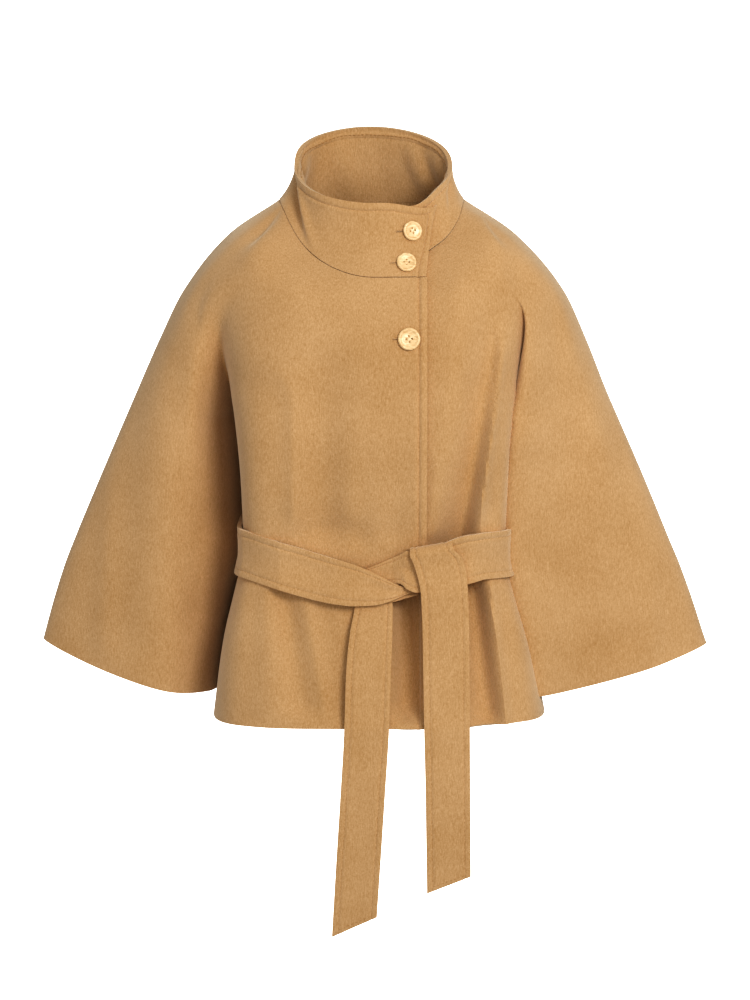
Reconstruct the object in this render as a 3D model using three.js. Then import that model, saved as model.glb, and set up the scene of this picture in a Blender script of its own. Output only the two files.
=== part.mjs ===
// Belted cape coat in camel wool, hollow, in the form it has when worn.
// Millimetres, +Z up, front towards -Y, +X towards the wearer's left.
// The origin lies midway between the two points where neck seam and shoulder meet.
//
// The coat is one smooth shell, cut into a back and two fronts. Level by level from the neck
// to the hem, the shell is a body arc and a sleeve loop. They join in a valley above the
// underarm and part below it, where the body closes in a side seam and the sleeve in its own.

import * as THREE from 'three';

const { lerp, clamp, smoothstep, degToRad } = THREE.MathUtils;

// ---------- cloth ----------
const COAT_CLOTH = 3;
const DOUBLED_CLOTH = 5;
const SEAM_GAP = 0.4;
const LAYER_GAP = 0.5;
const LOOSE_GAP = 1.2;       // between layers that only lie on each other

// ---------- body: the arc at each level ----------
// down: place from neck (0) to hem (1). half: half width. sway: shift towards the wearer's left.
// front, back: depth before and behind. square: 2 for an ellipse, more for a fuller corner.
// frontTurn, backTurn: where the arc ends, in degrees from the centre front.
// frontZ, backZ: height at the centre. frontEndZ, backEndZ: height where the arc ends.
const BODY_LEVELS = [
  { down: 0.000, half: 104, sway: 0, front: 90, back: 68, square: 2, frontTurn: 55, backTurn: 125,
    frontZ: -79, frontEndZ: -37, backZ: -8, backEndZ: -4 },
  { down: 0.085, half: 184, sway: 0, front: 103, back: 88, square: 2.2, frontTurn: 40, backTurn: 140,
    frontZ: -118, frontEndZ: -68, backZ: -42, backEndZ: -40 },
  { down: 0.195, half: 180, sway: 0, front: 114, back: 106, square: 2.4, frontTurn: 61, backTurn: 122,
    frontZ: -165, frontEndZ: -120, backZ: -98, backEndZ: -102 },
  { down: 0.260, half: 163, sway: 0, front: 116, back: 110, square: 2.6, frontTurn: 75, backTurn: 111,
    frontZ: -198, frontEndZ: -172, backZ: -150, backEndZ: -160 },
  { down: 0.335, half: 152.5, sway: 0, front: 117, back: 112, square: 2.7, frontTurn: 100, backTurn: 100,
    frontZ: -235, frontEndZ: -232, backZ: -235, backEndZ: -232 },
  { down: 0.485, half: 146, sway: 0, front: 111, back: 104, square: 2.7, frontTurn: 100, backTurn: 100,
    frontZ: -308, frontEndZ: -308, backZ: -308, backEndZ: -308 },
  { down: 0.630, half: 146, sway: 0, front: 100, back: 92, square: 2.5, frontTurn: 100, backTurn: 100,
    frontZ: -380, frontEndZ: -380, backZ: -380, backEndZ: -380 },
  { down: 0.705, half: 154, sway: 0, front: 106, back: 99, square: 2.5, frontTurn: 100, backTurn: 100,
    frontZ: -418, frontEndZ: -418, backZ: -418, backEndZ: -418 },
  { down: 0.830, half: 168, sway: 1.5, front: 118, back: 114, square: 2.5, frontTurn: 100, backTurn: 100,
    frontZ: -480, frontEndZ: -480, backZ: -480, backEndZ: -480 },
  { down: 1.000, half: 182, sway: 4.5, front: 130, back: 128, square: 2.5, frontTurn: 100, backTurn: 100,
    frontZ: -561, frontEndZ: -563, backZ: -563, backEndZ: -563 },
];
const UNDERARM_LEVEL = 4;

// ---------- sleeve: the loop at each level ----------
// apartX, apartY: from the side seam of the body to the underarm seam of the sleeve. seamZ: its height.
// flankOut: how far out the loop leaves that seam. crestX: where it is deepest.
// edgeX, edgeZ: the overarm edge, which is the outline of the coat. leftTrim: what the wearer's
// left edge lies further in. rise: how the height runs from the seam up to the edge, 1 for evenly.
const SLEEVE_LEVELS = [
  { down: 0.000, apartX: 0, apartY: 0, seamZ: -4, flankOut: 9, frontFlankY: -38, backFlankY: 29,
    crestX: 100.5, frontCrestY: -23, backCrestY: 17.5, edgeX: 104, edgeZ: 0, leftTrim: 7, rise: 1 },
  { down: 0.085, apartX: 0, apartY: 0, seamZ: -60, flankOut: 11, frontFlankY: -74, backFlankY: 61,
    crestX: 143, frontCrestY: -57, backCrestY: 47, edgeX: 160.5, edgeZ: -39.5, leftTrim: 6, rise: 1 },
  { down: 0.195, apartX: 0, apartY: 0, seamZ: -120, flankOut: 13, frontFlankY: -60, backFlankY: 59,
    crestX: 187, frontCrestY: -51, backCrestY: 53, edgeX: 208.5, edgeZ: -99, leftTrim: 3, rise: 1.1 },
  { down: 0.260, apartX: 0, apartY: 0, seamZ: -172, flankOut: 14, frontFlankY: -47, backFlankY: 56,
    crestX: 194, frontCrestY: -53, backCrestY: 56, edgeX: 234.5, edgeZ: -151, leftTrim: 4.5, rise: 1.4 },
  { down: 0.335, apartX: 2, apartY: 3, seamZ: -232, flankOut: 19, frontFlankY: -18, backFlankY: 50,
    crestX: 200, frontCrestY: -52, backCrestY: 58, edgeX: 262.5, edgeZ: -214, leftTrim: 7, rise: 1.8 },
  { down: 0.485, apartX: 3, apartY: 28, seamZ: -303, flankOut: 20, frontFlankY: -6, backFlankY: 60,
    crestX: 207, frontCrestY: -52, backCrestY: 64, edgeX: 300, edgeZ: -300, leftTrim: 6.5, rise: 2.3 },
  { down: 0.630, apartX: -1, apartY: 34, seamZ: -368, flankOut: 24, frontFlankY: -2, backFlankY: 64,
    crestX: 213, frontCrestY: -50, backCrestY: 66, edgeX: 328.5, edgeZ: -367, leftTrim: 7, rise: 2.3 },
  { down: 0.705, apartX: -4, apartY: 33, seamZ: -402, flankOut: 23, frontFlankY: -2, backFlankY: 64,
    crestX: 217, frontCrestY: -49, backCrestY: 66, edgeX: 342, edgeZ: -401, leftTrim: 6, rise: 2.3 },
  { down: 0.830, apartX: -5, apartY: 31, seamZ: -456, flankOut: 20, frontFlankY: -2, backFlankY: 63,
    crestX: 222, frontCrestY: -48, backCrestY: 65, edgeX: 355.5, edgeZ: -443, leftTrim: 4, rise: 1.7 },
  { down: 1.000, apartX: -3, apartY: 27, seamZ: -548, flankOut: 17, frontFlankY: -2, backFlankY: 61,
    crestX: 230, frontCrestY: -46, backCrestY: 64, edgeX: 367, edgeZ: -488, leftTrim: 0, rise: 1.3 },
];
const CAP_PLACE = 0.62;      // the loop's third point, between crest and edge
const CAP_DEPTH = 0.72;      // and how much of the crest's depth is left there
const LEFT_TIP_DROP = 5;     // the wearer's left sleeve ends a little lower at its tip
const LEFT_FLANK = { lift: -20, out: 5 }; // the wearer's left sleeve lies closer to the front of the body

// ---------- soft folds in the body ----------
// A fold runs from top to end. Depth is positive for a trough and negative for a ridge.
const FRONT_FOLDS = [
  { topX: -66, topZ: -140, endX: -64, endZ: -372, topDepth: 2, endDepth: 8, spread: 22 },
  { topX: 118, topZ: -190, endX: 101, endZ: -374, topDepth: 0, endDepth: 15, spread: 17 },
  { topX: 138, topZ: -200, endX: 128, endZ: -346, topDepth: 0, endDepth: -8, spread: 18 },
  { topX: -92, topZ: -408, endX: -62, endZ: -556, topDepth: 9, endDepth: 4, spread: 17 },
  { topX: 108, topZ: -404, endX: 136, endZ: -575, topDepth: 15, endDepth: 9, spread: 15 },
];
const BACK_FOLDS = [
  { topX: -84, topZ: -180, endX: -70, endZ: -366, topDepth: 2, endDepth: 9, spread: 20 },
  { topX: -8, topZ: -200, endX: -14, endZ: -362, topDepth: 1, endDepth: 7, spread: 17 },
  { topX: 72, topZ: -160, endX: 60, endZ: -366, topDepth: 2, endDepth: 10, spread: 20 },
  { topX: -100, topZ: -398, endX: -118, endZ: -575, topDepth: 11, endDepth: 7, spread: 17 },
  { topX: -34, topZ: -398, endX: -42, endZ: -575, topDepth: 9, endDepth: 6, spread: 19 },
  { topX: 40, topZ: -398, endX: 48, endZ: -575, topDepth: 10, endDepth: 5, spread: 18 },
  { topX: 104, topZ: -398, endX: 124, endZ: -575, topDepth: 10, endDepth: 8, spread: 16 },
];
const FOLD_FADE = 0.14;

// ---------- closing edges of the fronts ----------
const FRONT_EDGE_X = 55.5;
const UNDERLAP_X = 6;
const UNDERLAP_BLEND = 38;
const LAP_TOP_Z = -79;      // the neck seam runs level across the lap
const LAP_EASE = 20;        // and rises within this width beside it
const TUCK_DEPTH = 5.5;     // how far the lower layer is tucked in
const TUCK_AHEAD = 1.4;     // and how much more it goes back than sideways

// ---------- collar ----------
const RIM = { half: 85.5, front: 71, back: 62, square: 2.3, centreX: -1.6, middleZ: 38, tiltZ: 39 };
const COLLAR_FLARE = 2.2;
const FLAP_FOOT_TURN = 33;
const FLAP_TOP_TURN = 50;
const FLAP_DIP = 17;
const UNDER_END_TURN = -8;
const TUCK_TURNS = { from: 3, to: 32 }; // past the flap, where the rim comes out of the tuck
const UNDER_RIM_DROP = 1.5;
const COLLAR_FOLDS = [
  { turn: -66, footTurn: -40, depth: 6, spread: 9 },
  { turn: 84, footTurn: 62, depth: 3.5, spread: 9 },
];

// ---------- belt ----------
// Stations of the strap from the tucked end at the front, round the wearer's right and the back,
// to the wrap in the tie. turn: degrees from the centre front, towards the wearer's left.
// top, foot: heights of the two edges. lift: height over the coat.
const BELT_RIGHT_STRAND = [
  { x: 45, top: -409.5, foot: -413, lift: 0.5 },
  { x: 35, top: -409, foot: -416, lift: 0.7 },
  { x: 26, top: -406.8, foot: -419.5, lift: 4.2 },
  { x: 16, top: -401.5, foot: -423, lift: 6.8 },
  { x: 0, top: -393.5, foot: -427, lift: 7 },
  { x: -23, top: -384, foot: -428, lift: 7 },
  { x: -44, top: -378, foot: -426, lift: 6 },
  { x: -62, top: -373, foot: -423, lift: 3.2 },
  { x: -82, top: -367, foot: -418, lift: 1.8 },
  { x: -104, top: -361, foot: -412, lift: 1.8 },
];
const BELT_LEFT_STRAND = [
  { x: 117, top: -352.5, foot: -401.5, lift: 2.2 },
  { x: 102, top: -355.5, foot: -404.5, lift: 7.4 },
  { x: 80, top: -361, foot: -409, lift: 7.6 },
  { x: 60, top: -366.5, foot: -413, lift: 7.6 },
  { x: 44, top: -368.5, foot: -413.5, lift: 7.4 },
  { x: 34, top: -371, foot: -410, lift: 7 },
  { x: 26, top: -375, foot: -404.6, lift: 3.6 },
  { x: 16, top: -379, foot: -405, lift: 0.6 },
  { x: 4, top: -384.5, foot: -403, lift: 0.5 },
  { x: -8, top: -389.5, foot: -400, lift: 0.5 },
  { x: -16, top: -393, foot: -398, lift: 0.5 },
];
const BELT_SIDE = { top: -351.5, foot: -402, lift: 1.8 };
const BELT_BACK = { top: -347, foot: -397 };
const BELT_SIDE_TURNS = { from: 50, to: 176, steps: 21 };

// ---------- hanging ends ----------
// Rows down each end: x and height of its two edges, and how far its back stands off the coat.
const TAIL_LEFT_TOP = { x1: 36, x2: 91, z1: -368.5, z2: -357.5, lap: 26 };
const TAIL_LEFT_ROWS = [
  { x1: 43, x2: 97, z1: -386, z2: -380, off: 13.4 },
  { x1: 48.5, x2: 99, z1: -412, z2: -409, off: 13.2 },
  { x1: 50.5, x2: 100.5, z1: -450, z2: -449, off: 8.5 },
  { x1: 51.5, x2: 101, z1: -500, z2: -500, off: 4 },
  { x1: 52.5, x2: 101.5, z1: -561, z2: -561, off: 2 },
  { x1: 54, x2: 102, z1: -620, z2: -619, off: 3 },
  { x1: 55, x2: 102.5, z1: -680, z2: -674, off: 2 },
  { x1: 56, x2: 103, z1: -739, z2: -721, off: 0 },
];
const TAIL_RIGHT_ROWS = [
  { x1: -21, x2: 15, z1: -413, z2: -411, off: 0.6 },
  { x1: -22, x2: 19, z1: -431, z2: -429, off: 0.8 },
  { x1: -27, x2: 18.5, z1: -458, z2: -456, off: 4.5 },
  { x1: -31, x2: 17, z1: -500, z2: -499, off: 5 },
  { x1: -33, x2: 15, z1: -561, z2: -560, off: 3 },
  { x1: -37, x2: 11, z1: -630, z2: -625, off: 4 },
  { x1: -42, x2: 6.5, z1: -710, z2: -696, off: 3 },
  { x1: -46.5, x2: 2, z1: -787, z2: -765, off: 1 },
];

// ---------- buttons ----------
const SMALL_BUTTON = { radius: 10.8, height: 3.2 };
const LARGE_BUTTON = { radius: 12.2, height: 3.6 };
const COLLAR_BUTTONS = [
  { name: 'button_collar_top', turn: 28, rise: 0.645 },
  { name: 'button_collar_low', turn: 20.5, rise: 0.19 },
];
const FRONT_BUTTON = { x: 36, z: -143 };

// ---------- mesh density ----------
const ROWS_BETWEEN_LEVELS = [2, 3, 2, 3, 3, 3, 2, 3, 4];
const FRONT_BODY_STEPS = 15;
const BACK_BODY_STEPS = 12;
const SLEEVE_STEPS = 9;
const LAP_STEPS = 5;

// ---------- colours ----------
const CAMEL = { color: 0xc79a63, roughness: 0.95, metalness: 0 };
const HORN = { color: 0xe7d0a8, roughness: 0.45, metalness: 0 };

// ================= smooth tables =================

/** Slopes for a cubic curve through values that never overshoots them. */
function calmSlopes(places, values) {
  const rises = places.slice(1).map((place, index) => (values[index + 1] - values[index]) / (place - places[index]));
  return places.map((_, index) => {
    const before = rises[index - 1] ?? rises[index];
    const after = rises[index] ?? before;
    return before * after <= 0 ? 0 : (2 * before * after) / (before + after);
  });
}

/** A smooth curve through every column of a table, read by the column that orders its rows. */
function smoothTable(rows, orderKey) {
  const places = rows.map((row) => row[orderKey]);
  const columns = Object.keys(rows[0]).filter((key) => key !== orderKey).map((key) => {
    const values = rows.map((row) => row[key]);
    return { key, values, slopes: calmSlopes(places, values) };
  });
  return (place) => {
    const next = clamp(places.findIndex((other) => other >= place), 1, places.length - 1);
    const width = places[next] - places[next - 1];
    const share = (place - places[next - 1]) / width;
    const found = {};
    for (const { key, values, slopes } of columns) {
      const [from, to] = [values[next - 1], values[next]];
      const ease = share * share * (3 - 2 * share);
      const leave = share * (1 - share) ** 2 * slopes[next - 1];
      const arrive = share * share * (1 - share) * slopes[next];
      found[key] = lerp(from, to, ease) + width * (leave - arrive);
    }
    return found;
  };
}

const bodyLevel = smoothTable(BODY_LEVELS, 'down');
const sleeveLevel = smoothTable(SLEEVE_LEVELS, 'down');
const UNDERARM_DOWN = BODY_LEVELS[UNDERARM_LEVEL].down;

/** The rows of the mesh: each level of the tables and a few between. */
const ROWS = ROWS_BETWEEN_LEVELS.flatMap((count, level) => {
  const from = BODY_LEVELS[level].down;
  const to = BODY_LEVELS[level + 1].down;
  return Array.from({ length: count }, (_, step) => lerp(from, to, step / count));
}).concat(1);
const UNDERARM_ROW = ROWS_BETWEEN_LEVELS.slice(0, UNDERARM_LEVEL).reduce((sum, count) => sum + count, 0);

// ================= the shell of the coat =================

/** How far folds push the cloth inwards at a place seen from the front or the back. */
function foldDepth(folds, x, z) {
  let depth = 0;
  for (const fold of folds) {
    const along = (z - fold.topZ) / (fold.endZ - fold.topZ);
    const line = lerp(fold.topX, fold.endX, clamp(along, 0, 1));
    const across = (x - line) / fold.spread;
    const fade = smoothstep(along, -FOLD_FADE, FOLD_FADE) * (1 - smoothstep(along, 1 - FOLD_FADE, 1));
    depth += lerp(fold.topDepth, fold.endDepth, clamp(along, 0, 1)) * Math.exp(-across * across) * fade;
  }
  return depth;
}

/** A point of a ring that is an ellipse at square 2 and fuller at its corners above that. */
function ringPoint(half, front, back, square, turn) {
  const across = Math.sin(degToRad(turn));
  const ahead = Math.cos(degToRad(turn));
  const size = (Math.abs(across) ** square + Math.abs(ahead) ** square) ** (-1 / square);
  return new THREE.Vector3(half * across * size, -(ahead > 0 ? front : back) * ahead * size, 0);
}

/** A point of the body arc. turn runs from 0 at the centre front to 180 at the centre back. */
function bodyPoint(side, turn, down, folded = true) {
  const level = bodyLevel(down);
  const point = ringPoint(level.half, level.front, level.back, level.square, turn);
  point.x = side * point.x + level.sway;
  if (turn <= level.frontTurn) {
    point.z = lerp(level.frontZ, level.frontEndZ, (turn / level.frontTurn) ** 2);
  } else {
    const fromBack = (180 - turn) / (180 - level.backTurn);
    point.z = lerp(level.backZ, level.backEndZ, fromBack ** 2);
  }
  if (folded) {
    const depth = foldDepth(point.y < 0 ? FRONT_FOLDS : BACK_FOLDS, point.x, point.z);
    point.y -= Math.sign(point.y) * depth * Math.abs(Math.cos(degToRad(turn))) ** 0.3;
  }
  return point;
}

/** The sleeve loop at a level: a curve from the front of the valley over the edge to its back. */
function sleeveCurve(side, down) {
  const body = bodyLevel(down);
  const level = sleeveLevel(down);
  const open = down > UNDERARM_DOWN;
  const left = side > 0 ? smoothstep(down, 0.2, 0.5) : 0;
  const edgeX = level.edgeX - (side > 0 ? level.leftTrim : 0);
  const edgeZ = level.edgeZ - (side > 0 ? LEFT_TIP_DROP * smoothstep(down, 0.8, 1) : 0);
  const half = (face) => {
    const inner = bodyPoint(side, face === 'front' ? body.frontTurn : body.backTurn, down, false);
    if (open) inner.add(new THREE.Vector3(side * level.apartX, level.apartY, 0));
    inner.z = open ? level.seamZ : inner.z;
    const innerX = Math.abs(inner.x);
    const crestY = face === 'front' ? level.frontCrestY : level.backCrestY;
    const flankY = face === 'front' ? level.frontFlankY + LEFT_FLANK.lift * left : level.backFlankY;
    const heightAt = (x) => {
      const share = clamp((x - innerX) / (edgeX - innerX), 0, 1);
      return lerp(inner.z, edgeZ, share ** level.rise);
    };
    const point = (x, y) => new THREE.Vector3(side * x, y, heightAt(x));
    const flankX = innerX + level.flankOut + (face === 'front' ? LEFT_FLANK.out * left : 0);
    const crestX = Math.min(level.crestX, edgeX - 2.5);
    const capX = lerp(crestX, edgeX, CAP_PLACE);
    return [inner, point(flankX, flankY), point(crestX, crestY), point(capX, crestY * CAP_DEPTH)];
  };
  const edge = new THREE.Vector3(side * edgeX, 0, edgeZ);
  return new THREE.CatmullRomCurve3([...half('front'), edge, ...half('back').reverse()]);
}

/** Finds by halving where a rising test turns from true to false. */
function halve(low, high, stillBelow) {
  for (let step = 0; step < 30; step += 1) {
    const middle = (low + high) / 2;
    if (stillBelow(middle)) low = middle;
    else high = middle;
  }
  return low;
}

/** The turn of the front arc whose point lies at x, on the side of that x. */
function turnAtX(x, down, side = 1) {
  return halve(0, 89, (turn) => side * bodyPoint(side, turn, down, false).x < side * x);
}

/** The level below the underarm whose height is z. */
function downAtZ(z) {
  return halve(UNDERARM_DOWN, 1, (down) => bodyLevel(down).frontZ > z);
}

// ================= sheets and walls =================

/** An open surface: points and the quads between them, outer side out. */
class Sheet {
  constructor() {
    this.points = [];
    this.quads = [];
  }

  addRow(points) {
    const start = this.points.length;
    this.points.push(...points);
    return points.map((_, index) => start + index);
  }

  /** Fills the space between two rows of equal length. */
  bridge(upper, lower, flip) {
    for (let index = 0; index + 1 < upper.length; index += 1) {
      const quad = [upper[index], lower[index], lower[index + 1], upper[index + 1]];
      this.quads.push(flip ? quad.reverse() : quad);
    }
  }

  static fromRows(rows, flip = false) {
    const sheet = new Sheet();
    const indices = rows.map((row) => sheet.addRow(row));
    for (let row = 0; row + 1 < rows.length; row += 1) sheet.bridge(indices[row], indices[row + 1], flip);
    return sheet;
  }

  quadNormal(quad) {
    const [a, b, c, d] = quad.map((index) => this.points[index]);
    return c.clone().sub(a).cross(d.clone().sub(b));
  }

  /** Edges that belong to one quad only, in the direction that the quad gives them. */
  borderEdges() {
    const edges = new Map();
    for (const quad of this.quads) {
      quad.forEach((from, corner) => {
        const to = quad[(corner + 1) % 4];
        if (!edges.delete(`${to},${from}`)) edges.set(`${from},${to}`, [from, to]);
      });
    }
    return [...edges.values()];
  }
}

const placeKey = (point) => point.toArray().map((value) => Math.round(value * 1000)).join(',');

/** Normals at the points of several sheets; where sheets meet in a seam, they share one. */
function seamedNormals(sheets) {
  const sums = new Map();
  for (const sheet of sheets) {
    for (const quad of sheet.quads) {
      const normal = sheet.quadNormal(quad);
      for (const index of quad) {
        const key = placeKey(sheet.points[index]);
        if (!sums.has(key)) sums.set(key, new THREE.Vector3());
        sums.get(key).add(normal);
      }
    }
  }
  return sheets.map((sheet) => sheet.points.map((point) => sums.get(placeKey(point)).clone().normalize()));
}

const UNDERARM_POINTS = [-1, 1].map((side) => bodyPoint(side, bodyLevel(UNDERARM_DOWN).frontTurn, UNDERARM_DOWN, false));
const UNDERARM_SLACK = 3; // four seams meet there

/** Draws the border of a sheet back by half a seam gap, within its own surface. */
function drawBack(sheet, normals) {
  const inward = new Map(sheet.borderEdges().flat().map((index) => [index, new THREE.Vector3()]));
  for (const quad of sheet.quads) {
    for (const index of quad) {
      if (!inward.has(index)) continue;
      for (const other of quad) inward.get(index).add(sheet.points[other]).sub(sheet.points[index]);
    }
  }
  for (const [index, direction] of inward) {
    const point = sheet.points[index];
    const away = Math.min(...UNDERARM_POINTS.map((other) => other.distanceTo(point)));
    const slack = UNDERARM_SLACK * (1 - smoothstep(away, 18, 50));
    point.add(direction.projectOnPlane(normals[index]).setLength(SEAM_GAP / 2 + slack));
  }
}

/** Closes a sheet into a wall: its points moved in along the normals, and a rim along its border. */
function wallGeometry(sheet, thickness, normals) {
  const count = sheet.points.length;
  const inner = sheet.points.map((point, index) => point.clone().addScaledVector(normals[index], -thickness));
  const positions = [...sheet.points, ...inner].flatMap((point) => point.toArray());
  const triangles = [];
  const addQuad = (a, b, c, d) => triangles.push(a, b, c, a, c, d);
  for (const [a, b, c, d] of sheet.quads) {
    addQuad(a, b, c, d);
    addQuad(d + count, c + count, b + count, a + count);
  }
  for (const [from, to] of sheet.borderEdges()) addQuad(to, from, from + count, to + count);
  const geometry = new THREE.BufferGeometry();
  geometry.setAttribute('position', new THREE.Float32BufferAttribute(positions, 3));
  geometry.setIndex(triangles);
  geometry.computeVertexNormals();
  return geometry;
}

const cloth = new THREE.MeshStandardMaterial(CAMEL);
const horn = new THREE.MeshStandardMaterial(HORN);

function namedMesh(name, geometry, material) {
  const mesh = new THREE.Mesh(geometry, material.clone());
  mesh.name = name;
  return mesh;
}

// ================= fronts and back =================

/** Turns of the body part of one front row, from its closing edge to the valley. */
function frontTurns(down, edgeX) {
  const end = bodyLevel(down).frontTurn;
  const edge = edgeX === 0 ? 0 : turnAtX(edgeX, down);
  return Array.from({ length: FRONT_BODY_STEPS + 1 }, (_, step) => lerp(edge, end, step / FRONT_BODY_STEPS));
}

/** One half of a panel: body columns, then sleeve columns, parted below the underarm. */
function addHalf(sheet, side, face, bodyRow, flip) {
  const sleeveStart = face === 'front' ? 0 : 1;
  let last = null;
  const edges = [];
  ROWS.forEach((down, row) => {
    const body = sheet.addRow(bodyRow(down));
    const curve = sleeveCurve(side, down);
    const sleevePoints = Array.from({ length: SLEEVE_STEPS + 1 }, (_, step) => (
      curve.getPoint(Math.abs(sleeveStart - step / SLEEVE_STEPS / 2))
    ));
    const joined = row <= UNDERARM_ROW;
    const sleeve = joined
      ? [body.at(-1), ...sheet.addRow(sleevePoints.slice(1))]
      : sheet.addRow(sleevePoints);
    if (last) {
      sheet.bridge(last.body, body, flip);
      sheet.bridge(last.sleeve, sleeve, flip);
    }
    last = { body, sleeve };
    edges.push(body[0]);
  });
  return edges;
}

/** Joins two halves whose first columns lie on each other, by using the points of the first. */
function mergeCentre(sheet, keep, drop) {
  const swap = new Map(drop.map((index, row) => [index, keep[row]]));
  sheet.quads = sheet.quads.map((quad) => quad.map((index) => swap.get(index) ?? index));
  const used = [...new Set(sheet.quads.flat())].sort((a, b) => a - b);
  const renumber = new Map(used.map((index, place) => [index, place]));
  sheet.points = used.map((index) => sheet.points[index]);
  sheet.quads = sheet.quads.map((quad) => quad.map((index) => renumber.get(index)));
}

/** A point of the body in the lap, where rows start lower so that the neck seam runs level. */
function lapPoint(x, down) {
  const settled = BODY_LEVELS[2].down;
  const level = halve(0, settled, (high) => bodyPoint(1, turnAtX(x, high), high, false).z > LAP_TOP_Z);
  const start = level * (1 - smoothstep(x, FRONT_EDGE_X, FRONT_EDGE_X + LAP_EASE));
  const lowered = down < settled ? lerp(start, settled, down / settled) : down;
  return bodyPoint(1, turnAtX(x, lowered), lowered);
}

function rightFrontSheet() {
  const sheet = new Sheet();
  const centre = addHalf(sheet, -1, 'front', (down) => frontTurns(down, 0)
    .map((turn) => bodyPoint(-1, turn, down)), true);
  const lapRows = ROWS.map((down) => sheet.addRow(
    Array.from({ length: LAP_STEPS + 1 }, (_, step) => lapPoint(FRONT_EDGE_X * step / LAP_STEPS, down)),
  ));
  for (let row = 0; row + 1 < ROWS.length; row += 1) sheet.bridge(lapRows[row], lapRows[row + 1], false);
  mergeCentre(sheet, centre, lapRows.map((row) => row[0]));
  return sheet;
}

function leftFrontSheet() {
  const sheet = new Sheet();
  addHalf(sheet, 1, 'front', (down) => frontTurns(down, UNDERLAP_X).map((turn) => {
    const point = bodyPoint(1, turn, down);
    return point.x < FRONT_EDGE_X + LAP_EASE ? lapPoint(point.x, down) : point;
  }), false);
  return sheet;
}

function backSheet() {
  const sheet = new Sheet();
  const halves = [-1, 1].map((side) => addHalf(sheet, side, 'back', (down) => {
    const end = bodyLevel(down).backTurn;
    return Array.from({ length: BACK_BODY_STEPS + 1 }, (_, step) => (
      bodyPoint(side, lerp(180, end, step / BACK_BODY_STEPS), down)
    ));
  }, side > 0));
  mergeCentre(sheet, halves[0], halves[1]);
  return sheet;
}

/** Tucks a point of the lower layer in, level and towards the middle of the coat. */
function tuckIn(point, share) {
  const outwards = new THREE.Vector3(point.x, point.y * TUCK_AHEAD, 0).normalize();
  return point.addScaledVector(outwards, -TUCK_DEPTH * share);
}

/** How far the lower layer is tucked in: all the way under the lap, rising beside its edge. */
function tuckShare(x) {
  return 1 - smoothstep(x, FRONT_EDGE_X + 3, FRONT_EDGE_X + UNDERLAP_BLEND);
}

/** Tucks the wearer's left front under the right one. */
function pressUnder(sheet) {
  for (const point of sheet.points) {
    if (point.y < 0) tuckIn(point, tuckShare(point.x));
  }
}

function coatPanels() {
  const names = ['front_right', 'front_left', 'back'];
  const sheets = [rightFrontSheet(), leftFrontSheet(), backSheet()];
  const normals = seamedNormals(sheets);
  sheets.forEach((sheet, index) => drawBack(sheet, normals[index]));
  pressUnder(sheets[1]);
  return sheets.map((sheet, index) => (
    namedMesh(names[index], wallGeometry(sheet, COAT_CLOTH, normals[index]), cloth)
  ));
}

// ================= collar =================

/** The neck seam at a turn from -180 to 180, where 0 is the centre front. */
function neckPoint(turn) {
  const side = turn < 0 ? -1 : 1;
  const size = Math.abs(turn);
  const level = bodyLevel(0);
  if (size <= level.frontTurn || size >= level.backTurn) return bodyPoint(side, size, 0);
  const curve = sleeveCurve(side, 0);
  return curve.getPoint(halve(0, 1, (place) => {
    const { x, y } = curve.getPoint(place);
    const depth = y < 0 ? level.front : level.back;
    return THREE.MathUtils.radToDeg(Math.atan2(Math.abs(x) / level.half, -y / depth)) < size;
  }));
}

/** The rim of the collar. The end of the flap is cut straight, so it dips below the tilted rim. */
function rimPoint(turn, dip) {
  const point = ringPoint(RIM.half, RIM.front, RIM.back, RIM.square, turn);
  point.x += RIM.centreX;
  return point.setZ(RIM.middleZ - RIM.tiltZ * Math.cos(degToRad(turn)) - dip);
}

/** A point of the collar: wound is how far round from the flap's end, rise 0 at the seam, 1 at the rim. */
function collarPoint(wound, rise) {
  const flapEnd = lerp(FLAP_FOOT_TURN, FLAP_TOP_TURN, rise);
  const shift = lerp(flapEnd - FLAP_FOOT_TURN, 0, smoothstep(wound, 0, 90));
  const turn = THREE.MathUtils.euclideanModulo(FLAP_FOOT_TURN + shift - wound + 180, 360) - 180;
  const under = wound > 270;
  const onFlap = wound < 180;
  const seam = neckPoint(turn);
  const foot = seam.y < 0 && seam.x > 0 && seam.x < FRONT_EDGE_X + LAP_EASE ? lapPoint(seam.x, 0) : seam;
  const tuckedRim = 1 - smoothstep(turn, FLAP_TOP_TURN + TUCK_TURNS.from, FLAP_TOP_TURN + TUCK_TURNS.to);
  const tucked = under ? lerp(tuckShare(foot.x), tuckedRim, rise) : 0;
  const dip = FLAP_DIP * smoothstep(turn, 5, FLAP_TOP_TURN);
  const underDip = under ? (dip + UNDER_RIM_DROP) * tuckedRim : 0;
  const rim = rimPoint(turn, onFlap ? dip : underDip);
  const leaning = 1 - (1 - rise) ** COLLAR_FLARE;
  const point = new THREE.Vector3(
    lerp(foot.x, rim.x, leaning),
    lerp(foot.y, rim.y, leaning),
    lerp(foot.z, rim.z, rise),
  );
  const outwards = new THREE.Vector3(point.x / RIM.half, point.y / RIM.front, 0).normalize();
  tuckIn(point, tucked);
  let inset = 0;
  for (const fold of COLLAR_FOLDS) {
    const across = (turn - lerp(fold.footTurn, fold.turn, rise)) / fold.spread;
    inset += fold.depth * Math.exp(-across * across) * Math.sin(Math.PI * clamp(rise * 1.1, 0, 1));
  }
  point.addScaledVector(outwards, -inset);
  point.z += (1 - rise) * SEAM_GAP * (2 + 2 * tucked);
  return point;
}

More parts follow.
